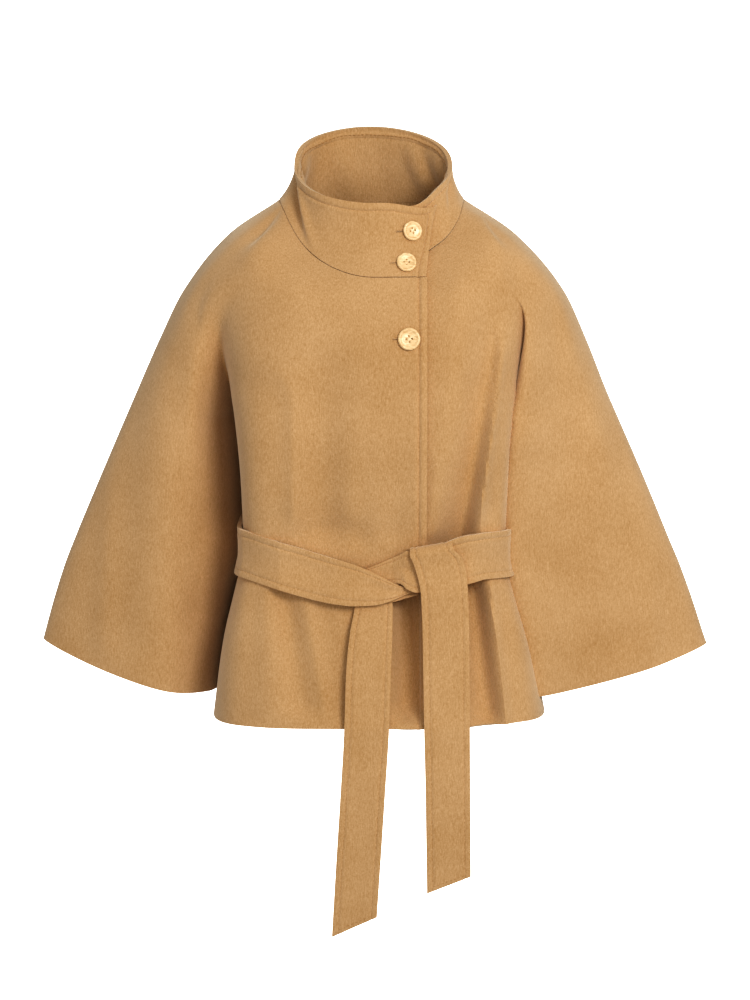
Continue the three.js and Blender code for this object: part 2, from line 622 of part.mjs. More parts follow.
const COLLAR_WIND = FLAP_FOOT_TURN - UNDER_END_TURN + 360;
const COLLAR_STEPS = 54;
const COLLAR_RISES = [0, 0.12, 0.28, 0.5, 0.75, 1];

function collar() {
  const rows = [...COLLAR_RISES].reverse().map((rise) => (
    Array.from({ length: COLLAR_STEPS + 1 }, (_, step) => collarPoint(COLLAR_WIND * step / COLLAR_STEPS, rise))
  ));
  const sheet = Sheet.fromRows(rows, true);
  const [normals] = seamedNormals([sheet]);
  for (const normal of normals) normal.setZ(0).normalize();
  return namedMesh('collar', wallGeometry(sheet, DOUBLED_CLOTH, normals), cloth);
}

// ================= belt =================

/** The coat under the belt, without folds, lifted outwards. */
function overCoat(side, turn, z, lift) {
  const down = downAtZ(z);
  const around = bodyPoint(side, turn + 0.5, down, false).sub(bodyPoint(side, turn - 0.5, down, false));
  const outwards = new THREE.Vector3(side * around.y, -side * around.x, 0).normalize();
  return bodyPoint(side, turn, down, false).addScaledVector(outwards, lift);
}

/** The same at distance x from the centre, measured where the lifted point lies. */
function overCoatAtX(x, z, lift) {
  const down = downAtZ(z);
  let base = x;
  let point = null;
  for (let step = 0; step < 8; step += 1) {
    const side = base < 0 ? -1 : 1;
    point = overCoat(side, turnAtX(base, down, side), z, lift);
    base += x - point.x;
  }
  return point;
}

const BELT_ACROSS = [0, 1 / 3, 2 / 3, 1];

function beltColumn(station) {
  const lift = station.lift + DOUBLED_CLOTH;
  return BELT_ACROSS.map((share) => {
    const z = lerp(station.top, station.foot, share);
    return station.turn === undefined
      ? overCoatAtX(station.x, z, lift)
      : overCoat(station.side, station.turn, z, lift);
  });
}

/** More stations along a strand, on smooth curves through the given ones. */
function smoothStrand(stations, steps) {
  const total = stations.length - 1;
  const curve = smoothTable(stations.map((station, index) => ({ ...station, place: index })), 'place');
  return Array.from({ length: steps + 1 }, (_, step) => curve(total * step / steps));
}

function belt() {
  const sideStation = (side) => (turn) => {
    const share = smoothstep(turn, 80, 160);
    return {
      side,
      turn,
      lift: BELT_SIDE.lift,
      top: lerp(BELT_SIDE.top, BELT_BACK.top, share),
      foot: lerp(BELT_SIDE.foot, BELT_BACK.foot, share),
    };
  };
  const { from, to, steps } = BELT_SIDE_TURNS;
  const turns = Array.from({ length: steps + 1 }, (_, step) => lerp(from, to, step / steps));
  const stations = [
    ...smoothStrand(BELT_RIGHT_STRAND, 18),
    ...turns.map(sideStation(-1)),
    ...turns.map(sideStation(1)).reverse(),
    ...smoothStrand(BELT_LEFT_STRAND, 20),
  ];
  const sheet = Sheet.fromRows(stations.map(beltColumn));
  const [normals] = seamedNormals([sheet]);
  return namedMesh('belt', wallGeometry(sheet, DOUBLED_CLOTH, normals), cloth);
}

/** One row across a hanging end. Below the hem of the coat it hangs straight down from it. */
function tailRow(row) {
  return BELT_ACROSS.map((share) => {
    const x = lerp(row.x1, row.x2, share);
    const z = lerp(row.z1, row.z2, share);
    const onCoat = overCoatAtX(x, Math.max(z, BODY_LEVELS.at(-1).frontZ + 1), row.off + DOUBLED_CLOTH);
    return onCoat.setZ(z);
  });
}

const TAIL_STEPS = 20;

/** The wearer's left end: up behind the strand, over its top edge and down in front. */
function leftTail() {
  const top = TAIL_LEFT_TOP;
  const backLift = LOOSE_GAP;
  const frontLift = TAIL_LEFT_ROWS[0].off + DOUBLED_CLOTH;
  const radius = (frontLift - backLift) / 2;
  const overRow = (angle, drop) => BELT_ACROSS.map((share) => {
    const x = lerp(top.x1, top.x2, share);
    const z = lerp(top.z1, top.z2, share) - drop;
    const lift = (backLift + frontLift) / 2 - radius * Math.cos(angle);
    const point = overCoatAtX(x, z, lift);
    point.z += radius * Math.sin(angle);
    return point;
  });
  const rows = [
    overRow(0, top.lap),
    overRow(0, top.lap / 2),
    ...[0, 0.2, 0.4, 0.6, 0.8, 1].map((share) => overRow(Math.PI * share, 2)),
    ...smoothStrand(TAIL_LEFT_ROWS, TAIL_STEPS).map(tailRow),
  ];
  const sheet = Sheet.fromRows(rows, false);
  const [normals] = seamedNormals([sheet]);
  return namedMesh('belt_tail_left', wallGeometry(sheet, DOUBLED_CLOTH, normals), cloth);
}

function rightTail() {
  const sheet = Sheet.fromRows(smoothStrand(TAIL_RIGHT_ROWS, TAIL_STEPS).map(tailRow), false);
  const [normals] = seamedNormals([sheet]);
  return namedMesh('belt_tail_right', wallGeometry(sheet, DOUBLED_CLOTH, normals), cloth);
}

// ================= buttons =================

/** A dished coat button with a raised rim, its back at the origin, facing +Y. */
function buttonGeometry({ radius, height }) {
  const profile = [
    [0, 0], [0.78, 0], [0.95, 0.25], [1, 0.55], [0.97, 0.85], [0.9, 1], [0.8, 0.98], [0.66, 0.66], [0, 0.6],
  ];
  return new THREE.LatheGeometry(profile.map(([out, up]) => new THREE.Vector2(out * radius, up * height)), 24);
}

function placeButton(name, size, point, outwards) {
  const mesh = namedMesh(name, buttonGeometry(size), horn);
  mesh.position.copy(point).addScaledVector(outwards, LAYER_GAP);
  mesh.quaternion.setFromUnitVectors(new THREE.Vector3(0, 1, 0), outwards);
  return mesh;
}

function surfaceNormal(pointAt, u, v) {
  const [stepU, stepV] = [2, 0.03];
  const alongU = pointAt(u + stepU, v).sub(pointAt(u - stepU, v));
  const alongV = pointAt(u, v + stepV).sub(pointAt(u, v - stepV));
  const normal = alongU.cross(alongV).normalize();
  return normal.y > 0 ? normal.negate() : normal;
}

function buttons() {
  const onCollar = COLLAR_BUTTONS.map(({ name, turn, rise }) => {
    const wound = FLAP_FOOT_TURN - turn + (FLAP_TOP_TURN - FLAP_FOOT_TURN) * rise;
    const outwards = surfaceNormal(collarPoint, wound, rise);
    return placeButton(name, SMALL_BUTTON, collarPoint(wound, rise), outwards);
  });
  const { x, z } = FRONT_BUTTON;
  const down = halve(0, UNDERARM_DOWN, (place) => bodyPoint(1, turnAtX(x, place), place).z > z);
  const onFront = (place, level) => bodyPoint(1, turnAtX(place, level), level);
  const outwards = surfaceNormal(onFront, x, down);
  return [...onCollar, placeButton('button_front', LARGE_BUTTON, onFront(x, down), outwards)];
}

// ================= the coat =================

const coat = new THREE.Group();
coat.add(...coatPanels(), collar(), belt(), leftTail(), rightTail(), ...buttons());

export default coat;
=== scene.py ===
# %% [markdown]
# # A belted cape coat in camel wool
# The coat is hollow and hangs in the form that it has when worn: two fronts, a back, a collar
# that stands up, and a belt tied at the waist. Each of them is a thin sheet of thick wool.
# A sheet can be draped by simulation, sculpted, or laid on a form that is known. The form of
# this coat is known from the rigid model, so every sheet is a grid laid on that form, only a
# little fuller at the corners of the waist. Folds are soft troughs and ridges placed one by one,
# and then the grid gets the thickness of its cloth.

# %% Load the rigid model
import math
from functools import lru_cache
from types import SimpleNamespace

import bpy
import numpy as np
from mathutils import Matrix, Quaternion, Vector, noise


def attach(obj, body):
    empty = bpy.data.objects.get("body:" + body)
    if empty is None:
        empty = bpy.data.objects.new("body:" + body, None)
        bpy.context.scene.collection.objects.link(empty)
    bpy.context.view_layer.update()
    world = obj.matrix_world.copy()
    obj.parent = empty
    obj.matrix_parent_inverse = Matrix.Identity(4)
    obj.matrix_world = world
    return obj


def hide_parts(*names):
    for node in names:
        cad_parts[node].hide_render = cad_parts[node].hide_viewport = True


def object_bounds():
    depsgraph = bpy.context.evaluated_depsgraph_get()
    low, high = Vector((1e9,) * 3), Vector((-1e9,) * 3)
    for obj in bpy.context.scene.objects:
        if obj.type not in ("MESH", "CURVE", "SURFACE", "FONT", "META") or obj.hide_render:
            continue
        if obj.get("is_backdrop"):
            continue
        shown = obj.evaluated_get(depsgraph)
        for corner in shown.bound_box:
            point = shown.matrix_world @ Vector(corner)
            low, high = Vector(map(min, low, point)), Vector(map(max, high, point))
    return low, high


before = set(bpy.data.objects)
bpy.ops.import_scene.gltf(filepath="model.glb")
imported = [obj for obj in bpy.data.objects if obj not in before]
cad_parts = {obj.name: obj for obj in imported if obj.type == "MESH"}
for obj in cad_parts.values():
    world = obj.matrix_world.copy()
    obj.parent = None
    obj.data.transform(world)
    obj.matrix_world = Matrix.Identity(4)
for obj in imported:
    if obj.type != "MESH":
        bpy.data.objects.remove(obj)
cad_box = [list(corner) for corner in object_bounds()]
MM = 0.001


def say_box(name, box):
    print(name, "from", *([round(v, 3) for v in corner] for corner in box))


say_box("rigid model", cad_box)

# %% [markdown]
# ## The form of the coat
# The form is one smooth shell. Level by level from the neck to the hem it has an arc for the
# body and a loop for each sleeve. They join in a valley above the underarm, and part below it.
# Sizes are in millimetres: +Z is up, -Y is the front, and +X is the wearer's left.

# %% Tables of the form
BODY_COLUMNS = (
    "down half sway front back square front_turn back_turn"
    " front_z front_end_z back_z back_end_z"
)
BODY_ROWS = [
    (0.000, 104, 0, 90, 68, 2, 55, 125, -79, -37, -8, -4),
    (0.085, 184, 0, 103, 88, 2.2, 40, 140, -118, -68, -42, -40),
    (0.195, 180, 0, 114, 106, 2.6, 61, 122, -165, -120, -98, -102),
    (0.260, 163, 0, 116, 110, 3.2, 75, 111, -198, -172, -150, -160),
    (0.335, 152.5, 0, 116, 112, 4.6, 100, 100, -235, -232, -235, -232),
    (0.485, 145.5, 0, 110, 104, 5.8, 100, 100, -308, -308, -308, -308),
    (0.630, 143.5, 0, 99, 92, 5.8, 100, 100, -380, -380, -380, -380),
    (0.705, 152, 0, 105, 99, 5.6, 100, 100, -418, -418, -418, -418),
    (0.830, 168, 1.5, 117, 114, 4.8, 100, 100, -480, -480, -480, -480),
    (1.000, 182, 4.5, 129, 128, 4.0, 100, 100, -559.5, -561, -561, -561),
]
SLEEVE_COLUMNS = (
    "down apart_x apart_y seam_z flank_out front_flank_y back_flank_y"
    " crest_x front_crest_y back_crest_y edge_x edge_z left_trim rise"
)
SLEEVE_ROWS = [
    (0.000, 0, 0, -4, 9, -38, 29, 100.5, -23, 17.5, 104, 0, 7, 1),
    (0.085, 0, 0, -60, 11, -74, 61, 143, -57, 47, 160.5, -39.5, 6, 1),
    (0.195, 0, 0, -120, 13, -60, 59, 187, -51, 53, 208.5, -99, 3, 1.1),
    (0.260, 0, 0, -172, 14, -47, 56, 194, -53, 56, 234.5, -151, 4.5, 1.4),
    (0.335, 2, 3, -232, 19, -18, 50, 200, -52, 58, 262.5, -214, 7, 1.8),
    (0.485, 0, 29, -303, 20, -6, 60, 207, -52, 64, 300, -300, 6.5, 2.3),
    (0.630, -4, 35, -368, 24, -2, 64, 213, -50, 66, 328.5, -367, 7, 2.3),
    (0.705, -9, 36, -402, 23, -2, 64, 217, -49, 66, 342, -401, 6, 2.3),
    (0.830, -10, 36, -456, 20, -2, 63, 222, -48, 65, 355.5, -443, 4, 1.7),
    (1.000, -8, 33, -545.5, 17, -2, 61, 230, -46, 64, 367, -484.5, 0, 1.5),
]
UNDERARM_DOWN = 0.335
CAP_PLACE, CAP_DEPTH = 0.62, 0.72
LEFT_TIP_DROP = 5
LEFT_BODY_HEM_LIFT, LEFT_SLEEVE_HEM_LIFT = 3.5, 8.5
LEFT_FLANK_LIFT, LEFT_FLANK_OUT = -66, -24


def smooth_table(columns, rows):
    """Reads a table by its first column, on smooth curves that never overshoot its values."""
    names = columns.split()
    values = np.array(rows, float)
    widths = np.diff(values[:, 0])
    rises = np.diff(values, axis=0) / widths[:, None]
    before, after = np.vstack([rises[:1], rises]), np.vstack([rises, rises[-1:]])
    both = np.where(before * after > 0, before + after, 1)
    slopes = np.where(before * after > 0, 2 * before * after / both, 0)

    @lru_cache(maxsize=None)
    def read(place):
        low = int(np.clip(np.searchsorted(values[:, 0], place) - 1, 0, len(widths) - 1))
        share = (place - values[low, 0]) / widths[low]
        ease = share * share * (3 - 2 * share)
        leave, arrive = share * (1 - share) ** 2, share * share * (1 - share)
        found = values[low] + (values[low + 1] - values[low]) * ease
        found = found + widths[low] * (leave * slopes[low] - arrive * slopes[low + 1])
        return SimpleNamespace(**dict(zip(names, found)))

    return read


body_level = smooth_table(BODY_COLUMNS, BODY_ROWS)
sleeve_level = smooth_table(SLEEVE_COLUMNS, SLEEVE_ROWS)


def smoothstep(value, low, high):
    share = np.clip((value - low) / (high - low), 0, 1)
    return share * share * (3 - 2 * share)


def lerp(a, b, share):
    return a + (b - a) * share


print("the form has", len(BODY_ROWS), "levels, and sleeves of their own below", UNDERARM_DOWN)

# %% [markdown]
# ## Folds
# Heavy wool makes few folds, and they are wide and soft. A fold is a line from its top to its
# end, with a depth and a width at both. A positive depth is a trough and a negative one a ridge.
# The belt gathers the coat, so most folds are deepest there and fade away from it.

# %% Tables of the folds
# A row is top_x, top_z, end_x, end_z, top_depth, end_depth, top_spread, end_spread, steepness.
# The steepness is how much narrower the wall on the side of +X is than the other wall.
FRONT_FOLDS = [
    (-56, -140, -56, -384, 5, 13, 32, 26, 1),
    (-100, -190, -98, -360, -3, -4, 24, 22, 1),
    (-28, -210, -26, -352, -1, -3, 20, 16, 1),
    (-12, -250, -16, -376, 0.5, 3, 16, 12, 1),
    (22, -230, 20, -372, 0.3, 2.5, 22, 14, 1),
    (136, -77, 80, -440, 6, 38, 24, 24, 2.2),
    (153, -84, 122, -366, -2, -9, 15, 13, 1),
    (72, -260, 64, -366, -1, -5, 18, 12, 1),
    (-98, -408, -76, -556, 12, 7, 13, 19, 1),
    (-128, -404, -138, -575, 4, 3, 12, 20, 1),
    (-58, -424, -36, -560, -3, -2, 14, 18, 1),
    (102, -396, 124, -575, 30, 22, 20, 24, 1.6),
    (136, -410, 152, -575, -6, -5, 14, 16, 1),
    (34, -398, 37, -560, 34, 22, 15, 17, 1),
]
BACK_FOLDS = [
    (-84, -180, -70, -366, 2, 9, 24, 18, 1),
    (-40, -240, -42, -362, -1, -4, 18, 13, 1),
    (-8, -200, -14, -362, 1, 7, 20, 15, 1),
    (30, -240, 24, -362, -1, -4, 18, 12, 1),
    (72, -160, 60, -366, 2, 10, 24, 18, 1),
    (-100, -398, -118, -575, 11, 7, 15, 19, 1),
    (-66, -398, -80, -575, -3, -3, 13, 18, 1),
    (-34, -398, -42, -575, 9, 6, 17, 21, 1),
    (40, -398, 48, -575, 10, 5, 16, 20, 1),
    (76, -398, 86, -575, -3, -3, 13, 18, 1),
    (104, -398, 124, -575, 10, 8, 14, 18, 1),
]
FOLD_FADE = 0.16


def fold_depth(folds, x, z):
    """How far the folds push the cloth in at a place seen from the front or the back."""
    depth = 0.0
    for top_x, top_z, end_x, end_z, *depths, top_spread, end_spread, steepness in folds:
        along = (z - top_z) / (end_z - top_z)
        share = min(max(along, 0), 1)
        across = (x - lerp(top_x, end_x, share)) / lerp(top_spread, end_spread, share)
        across *= steepness if across > 0 else 1
        fade = smoothstep(along, -FOLD_FADE, FOLD_FADE) * (1 - smoothstep(along, 1 - FOLD_FADE, 1))
        depth += lerp(*depths, share) * math.exp(-across * across) * fade
    return depth


print("folds:", len(FRONT_FOLDS), "in front and", len(BACK_FOLDS), "behind")

# %% Points of the body
def ring_point(half, front, back, square, turn):
    """A ring that is an ellipse at square 2 and fuller at its corners above that."""
    across, ahead = math.sin(math.radians(turn)), math.cos(math.radians(turn))
    size = (abs(across) ** square + abs(ahead) ** square) ** (-1 / square)
    return np.array([half * across * size, -(front if ahead > 0 else back) * ahead * size, 0.0])


def body_point(side, turn, down, folded=True):
    """A point of the body arc, with its turn from 0 at the centre front to 180 at the back."""
    level = body_level(down)
    point = ring_point(level.half, level.front, level.back, level.square, turn)
    point[0] = side * point[0] + level.sway
    if turn <= level.front_turn:
        point[2] = lerp(level.front_z, level.front_end_z, (turn / level.front_turn) ** 2)
    else:
        from_back = (180 - turn) / (180 - level.back_turn)
        point[2] = lerp(level.back_z, level.back_end_z, from_back**2)
    point[2] += LEFT_BODY_HEM_LIFT * smoothstep(down, 0.83, 1) * smoothstep(point[0], 60, 170)
    if folded:
        depth = fold_depth(FRONT_FOLDS if point[1] < 0 else BACK_FOLDS, point[0], point[2])
        point[1] -= math.copysign(depth * abs(math.cos(math.radians(turn))) ** 0.3, point[1])
    return point


print("the hem is", round(2 * body_level(1.0).half), "mm wide between the sleeves")

# %% [markdown]
# ## Sleeves
# A sleeve of a cape coat is cut in one with the body, so it has no armhole. Each of its rows is
# a spline through nine knots: it leaves the body in the valley, passes the flank and the crest,
# turns at the outer edge, and comes back behind. A few knots at each level keep it smooth.

# %% Points of the sleeves
@lru_cache(maxsize=None)
def sleeve_knots(side, down):
    """The points that the sleeve loop passes, from the front of the valley round to its back."""
    body, level = body_level(down), sleeve_level(down)
    is_open = down > UNDERARM_DOWN
    left = smoothstep(down, 0.12, 0.4) if side > 0 else 0
    left_out = smoothstep(down, 0.08, 0.24) if side > 0 else 0
    edge_x = level.edge_x - (level.left_trim if side > 0 else 0)
    edge_z = level.edge_z - (LEFT_TIP_DROP * smoothstep(down, 0.8, 1) if side > 0 else 0)
    halves = []
    for front in (True, False):
        inner = body_point(side, body.front_turn if front else body.back_turn, down, False)
        if is_open:
            inner += (side * level.apart_x, level.apart_y, 0)
            inner[2] = level.seam_z
            if side > 0 and front:
                inner[2] += LEFT_SLEEVE_HEM_LIFT * smoothstep(down, 0.8, 1)
        inner_x = abs(inner[0])
        crest_y = level.front_crest_y if front else level.back_crest_y
        flank_y = level.front_flank_y + LEFT_FLANK_LIFT * left if front else level.back_flank_y
        flank_x = inner_x + level.flank_out + (LEFT_FLANK_OUT * left_out if front else 0)
        crest_x = min(level.crest_x, edge_x - 2.5)
        knots = [inner]
        for x, y in ((flank_x, flank_y), (crest_x, crest_y),
                     (lerp(crest_x, edge_x, CAP_PLACE), crest_y * CAP_DEPTH)):
            share = min(max((x - inner_x) / (edge_x - inner_x), 0), 1)
            knots.append(np.array([side * x, y, lerp(inner[2], edge_z, share**level.rise)]))
        halves.append(knots)
    edge = np.array([side * edge_x, 0.0, edge_z])
    return np.array([*halves[0], edge, *halves[1][::-1]])


def curve_points(knots, places):
    """Points on a centripetal spline through the knots, at places from 0 to 1."""
    ends = (2 * knots[0] - knots[1], 2 * knots[-1] - knots[-2])
    padded = np.vstack([ends[0], knots, ends[1]])
    spans = np.maximum(np.sum(np.diff(padded, axis=0) ** 2, axis=1) ** 0.25, 1e-4)[:, None]
    found = np.array(places, float) * (len(knots) - 1)
    index = np.clip(found.astype(int), 0, len(knots) - 2)
    weight = (found - index)[:, None]
    a, b, c, d = (padded[index + step] for step in range(4))
    before, here, after = (spans[index + step] for step in range(3))
    leave = here * ((b - a) / before - (c - a) / (before + here) + (c - b) / here)
    arrive = here * ((c - b) / here - (d - b) / (here + after) + (d - c) / after)
    bend, twist = 3 * (c - b) - 2 * leave - arrive, 2 * (b - c) + leave + arrive
    return b + leave * weight + bend * weight**2 + twist * weight**3


SLEEVE_FOLDS = [
    (-262, -190, -276, -520, 2, 4, 14, 24, 1),
    (-304, -290, -318, -520, -1, -3, 14, 22, 1),
    (-214, -150, -196, -500, -2, -4, 14, 18, 1),
    (226, -150, 214, -330, 2, 1, 12, 16, 1),
    (262, -210, 280, -520, 1.5, 4, 14, 24, 1),
    (316, -330, 322, -520, 1, -3, 14, 22, 1),
]


def sleeve_row(side, down, places):
    """One row of a sleeve, with its own wide folds."""
    points = curve_points(sleeve_knots(side, down), places)
    for point in points:
        back = point[1] > 0
        depth = fold_depth(SLEEVE_FOLDS, -point[0] if back else point[0], point[2])
        point[1] -= math.copysign(depth, point[1]) * smoothstep(abs(point[1]), 4, 26)
    return points


def turn_at_x(x, down):
    """The turn of the front arc that lies at x."""
    level = body_level(down)
    share = min(abs(x - level.sway) / level.half, 0.999) ** level.square
    return math.degrees(math.atan((share / (1 - share)) ** (1 / level.square)))


DOWNS = np.linspace(0, 1, 801)
FRONT_HEIGHTS = np.array([body_level(float(down)).front_z for down in DOWNS])


def down_at_z(z):
    return float(np.interp(-z, -FRONT_HEIGHTS, DOWNS))


print("the sleeves end at", [round(float(sleeve_knots(side, 1.0)[4, 0])) for side in (-1, 1)], "mm")

# %% [markdown]
# ## The lap
# The wearer's right front laps over the left one. Its rows start lower than the neck seam
# beside it, so that the seam runs level across the lap, and the left front is tucked in below.

# %% The lap and the tuck
FRONT_EDGE_X = 55.5
UNDERLAP_X = 6
UNDERLAP_BLEND = 38
LAP_TOP_Z = -79
LAP_EASE = 20
LAP_SETTLED = BODY_ROWS[2][0]
TUCK_DEPTH = 5.5
TUCK_AHEAD = 1.4


def lap_start(x):
    """The place on the form, at x, where the seam over the lap runs."""
    downs = DOWNS[DOWNS <= LAP_SETTLED]
    heights = np.array([body_point(1, turn_at_x(x, float(d)), float(d), False)[2] for d in downs])
    return float(np.interp(-LAP_TOP_Z, -heights, downs))


LAP_XS = np.linspace(0, FRONT_EDGE_X + LAP_EASE, 41)
LAP_STARTS = np.array([lap_start(float(x)) for x in LAP_XS])


def lap_point(x, down):
    start = np.interp(x, LAP_XS, LAP_STARTS)
    start *= 1 - smoothstep(x, FRONT_EDGE_X, FRONT_EDGE_X + LAP_EASE)
    lowered = lerp(start, LAP_SETTLED, down / LAP_SETTLED) if down < LAP_SETTLED else down
    lowered = float(lowered)
    return body_point(1, turn_at_x(x, lowered), lowered)


def tuck_in(point, share):
    outwards = np.array([point[0], point[1] * TUCK_AHEAD, 0.0])
    return point - outwards / np.linalg.norm(outwards) * TUCK_DEPTH * share


def tuck_share(x):
    return 1 - smoothstep(x, FRONT_EDGE_X + 3, FRONT_EDGE_X + UNDERLAP_BLEND)


print("the lap is", FRONT_EDGE_X - UNDERLAP_X, "mm wide")

# %% The neck seam
NECK_EASE_DOWN = 0.09
NECK_SMOOTH = 9
NECK_TURNS = np.arange(181.0)
UNDER_NECK_SHIFT = np.array([-2.0, 5.0, 6.5])


def neck_turn(point):
    """How far round from the centre front a point of the neck seam lies."""
    level = body_level(0.0)
    depth = level.front if point[1] < 0 else level.back
    return math.degrees(math.atan2(abs(point[0]) / level.half, -point[1] / depth))


def point_at(place, places, line):
    """The point of a line at a place, between the points whose places are given."""
    return np.array([np.interp(place, places, line[:, axis]) for axis in range(3)])


def plain_neck(side):
    """The neck seam of one side as the form gives it, for every degree."""
    level = body_level(0.0)
    loop = curve_points(sleeve_knots(side, 0.0), np.linspace(0, 1, 400))
    loop_turns = [neck_turn(point) for point in loop]
    found = []
    for turn in NECK_TURNS:
        if level.front_turn < turn < level.back_turn:
            found.append(point_at(turn, loop_turns, loop))
        else:
            found.append(body_point(side, float(turn), 0.0))
    return np.array(found)


def eased_neck(side):
    """The same without its kinks. On the lower layer it also lies a little nearer the neck."""
    plain = plain_neck(side)
    padded = np.vstack([plain[1:40][::-1] * (-1, 1, 1), plain, plain[-40:-1][::-1] * (-1, 1, 1)])
    weights = np.exp(-(np.arange(-30, 31) / NECK_SMOOTH) ** 2)
    weights /= weights.sum()
    eased = [np.convolve(padded[:, axis], weights, "same")[39:220] for axis in range(3)]
    eased = np.array(eased).T
    if side > 0:
        along = plain[:, 0]
        share = smoothstep(along, 15, 52) * (1 - smoothstep(along, 62, 103)) * (plain[:, 1] < 0)
        eased += share[:, None] * UNDER_NECK_SHIFT
    away = smoothstep(NECK_TURNS, 3, 26)[:, None]
    return plain, plain + (eased - plain) * away


NECK = {side: eased_neck(side) for side in (-1, 1)}


def neck_ease(side, turn):
    plain, eased = NECK[side]
    return point_at(turn, NECK_TURNS, eased - plain)


def ease_to_neck(grid, side):
    """Moves the top rows of a panel so that they end on the eased neck seam."""
    offsets = np.array([neck_ease(side, neck_turn(point)) for point in grid[0]])
    for row, down in enumerate(ROWS):
        grid[row] += offsets * (1 - smoothstep(down, 0, NECK_EASE_DOWN))
    return grid


seam_length = sum(np.linalg.norm(np.diff(line[1], axis=0), axis=1).sum() for line in NECK.values())
print("the neck seam is", round(float(seam_length)), "mm long")

# %% [markdown]
# ## Laying a grid on the form
# A grid primitive has its points in rows and columns, so each of them can be sent to its place
# on the form. Rows run down and columns run to the right as seen from outside, and then the
# faces look outwards. Solidify gives the cloth its thickness, inwards, and a bevel rounds the
# cut edges. Seams show as a narrow groove, because each sheet ends a little before its seam.

# %% Helpers for sheets
CLOTH_EDGE_ANGLE = math.radians(55)
MERGE_DISTANCE = 2e-6


def deselect_all():
    if bpy.context.object and bpy.context.object.mode != "OBJECT":
        bpy.ops.object.mode_set(mode="OBJECT")
    bpy.ops.object.select_all(action="DESELECT")


def pick(*pieces):
    """Selects these pieces alone, and makes the first one active."""
    deselect_all()
    for piece in pieces:
        piece.select_set(True)
    bpy.context.view_layer.objects.active = pieces[0]


def rename(piece, name):
    piece.name = piece.data.name = name


def join(name, pieces):
    """Makes one piece of several."""
    pick(*pieces)
    if len(pieces) > 1:
        bpy.ops.object.join()
    rename(pieces[0], name)
    return pieces[0]


def outward(points):
    """Unit normals of a grid of points, on the side from which rows run down and columns right."""
    down, right = np.gradient(points, axis=0), np.gradient(points, axis=1)
    normals = np.cross(down, right)
    return normals / np.maximum(np.linalg.norm(normals, axis=2, keepdims=True), 1e-9)


def lay_grid(name, points):
    """Adds a grid primitive and sends its points to the given places, in millimetres."""
    rows, columns = points.shape[:2]
    deselect_all()
    bpy.ops.mesh.primitive_grid_add(x_subdivisions=columns - 1, y_subdivisions=rows - 1, size=2)
    piece = bpy.context.active_object
    piece.name = name
    mesh = piece.data
    flat = np.empty(len(mesh.vertices) * 3)
    mesh.vertices.foreach_get("co", flat)
    flat = flat.reshape(-1, 3)
    column = np.rint((flat[:, 0] + 1) / 2 * (columns - 1)).astype(int)
    row = np.rint((1 - flat[:, 1]) / 2 * (rows - 1)).astype(int)
    mesh.vertices.foreach_set("co", (points[row, column] * MM).ravel())
    width, length = (np.linalg.norm(np.diff(points, axis=axis), axis=2).sum(axis=axis).mean() * MM
                     for axis in (1, 0))
    uv = np.empty(len(mesh.loops) * 2)
    mesh.uv_layers[0].data.foreach_get("uv", uv)
    uv = uv.reshape(-1, 2) * (width, length)
    mesh.uv_layers[0].data.foreach_set("uv", uv.ravel())
    mesh.update()
    return piece


def apply_modifier(piece, kind, **settings):
    modifier = piece.modifiers.new(kind.title(), kind)
    for key, value in settings.items():
        setattr(modifier, key, value)
    pick(piece)
    bpy.ops.object.modifier_apply(modifier=modifier.name)


def make_cloth(name, grids, thickness, edge=1.0):
    """Joins grids into one sheet, and gives it the thickness of its cloth and rounded edges."""
    piece = join(name, [lay_grid(f"{name}_{index}", grid) for index, grid in enumerate(grids)])
    bpy.ops.object.mode_set(mode="EDIT")
    bpy.ops.mesh.select_all(action="SELECT")
    bpy.ops.mesh.remove_doubles(threshold=MERGE_DISTANCE)
    bpy.ops.object.mode_set(mode="OBJECT")
    piece["area"] = sum(face.area for face in piece.data.polygons)
    apply_modifier(piece, "SOLIDIFY", thickness=thickness * MM, offset=-1, use_rim=True)
    apply_modifier(piece, "BEVEL", width=edge * MM, segments=3, limit_method="ANGLE",
                   angle_limit=CLOTH_EDGE_ANGLE, harden_normals=False, use_clamp_overlap=True)
    pick(piece)
    bpy.ops.object.shade_smooth()
    print(f"{name}: {piece['area']:.4f} m2 of cloth, {len(piece.data.polygons)} faces")
    return piece

# %% [markdown]
# ## Fronts and back
# The rows are close together, because folds need them, and one row lies exactly at the
# underarm, where body and sleeve part. Above it the line between them is rounded, as the cloth
# runs on there without a seam. The front edge carries a pressed line of topstitching.

# %% Fronts and back
COAT_CLOTH = 3.0
ROWS_ABOVE, ROWS_BELOW = 48, 92
ROWS = [*np.linspace(0, UNDERARM_DOWN, ROWS_ABOVE + 1)[:-1],
        *np.linspace(UNDERARM_DOWN, 1, ROWS_BELOW)]
ROWS = [float(down) for down in ROWS]
FRONT_STEPS, BACK_STEPS, SLEEVE_STEPS = 92, 52, 40
STITCH_IN = 8.8
LAP_COLUMNS = [*np.linspace(0, 38, 10), 41, 43, 44.5, 45.6, FRONT_EDGE_X - STITCH_IN, 47.8, 49,
               50.6, 52.4, 54.2, FRONT_EDGE_X]


def edge_relief(inwards, depth=1.3, puff=0.7, width=1.5):
    """Height of an edge with a pressed line of topstitching and a rounded band outside it."""
    band = np.clip((STITCH_IN - inwards) / STITCH_IN, 0, 1)
    groove = np.exp(-((inwards - STITCH_IN) / width) ** 2)
    beside = np.exp(-((inwards - STITCH_IN - 4.5) / 3) ** 2)
    return puff * np.sin(math.pi * band) ** 0.8 + 0.35 * beside - depth * groove


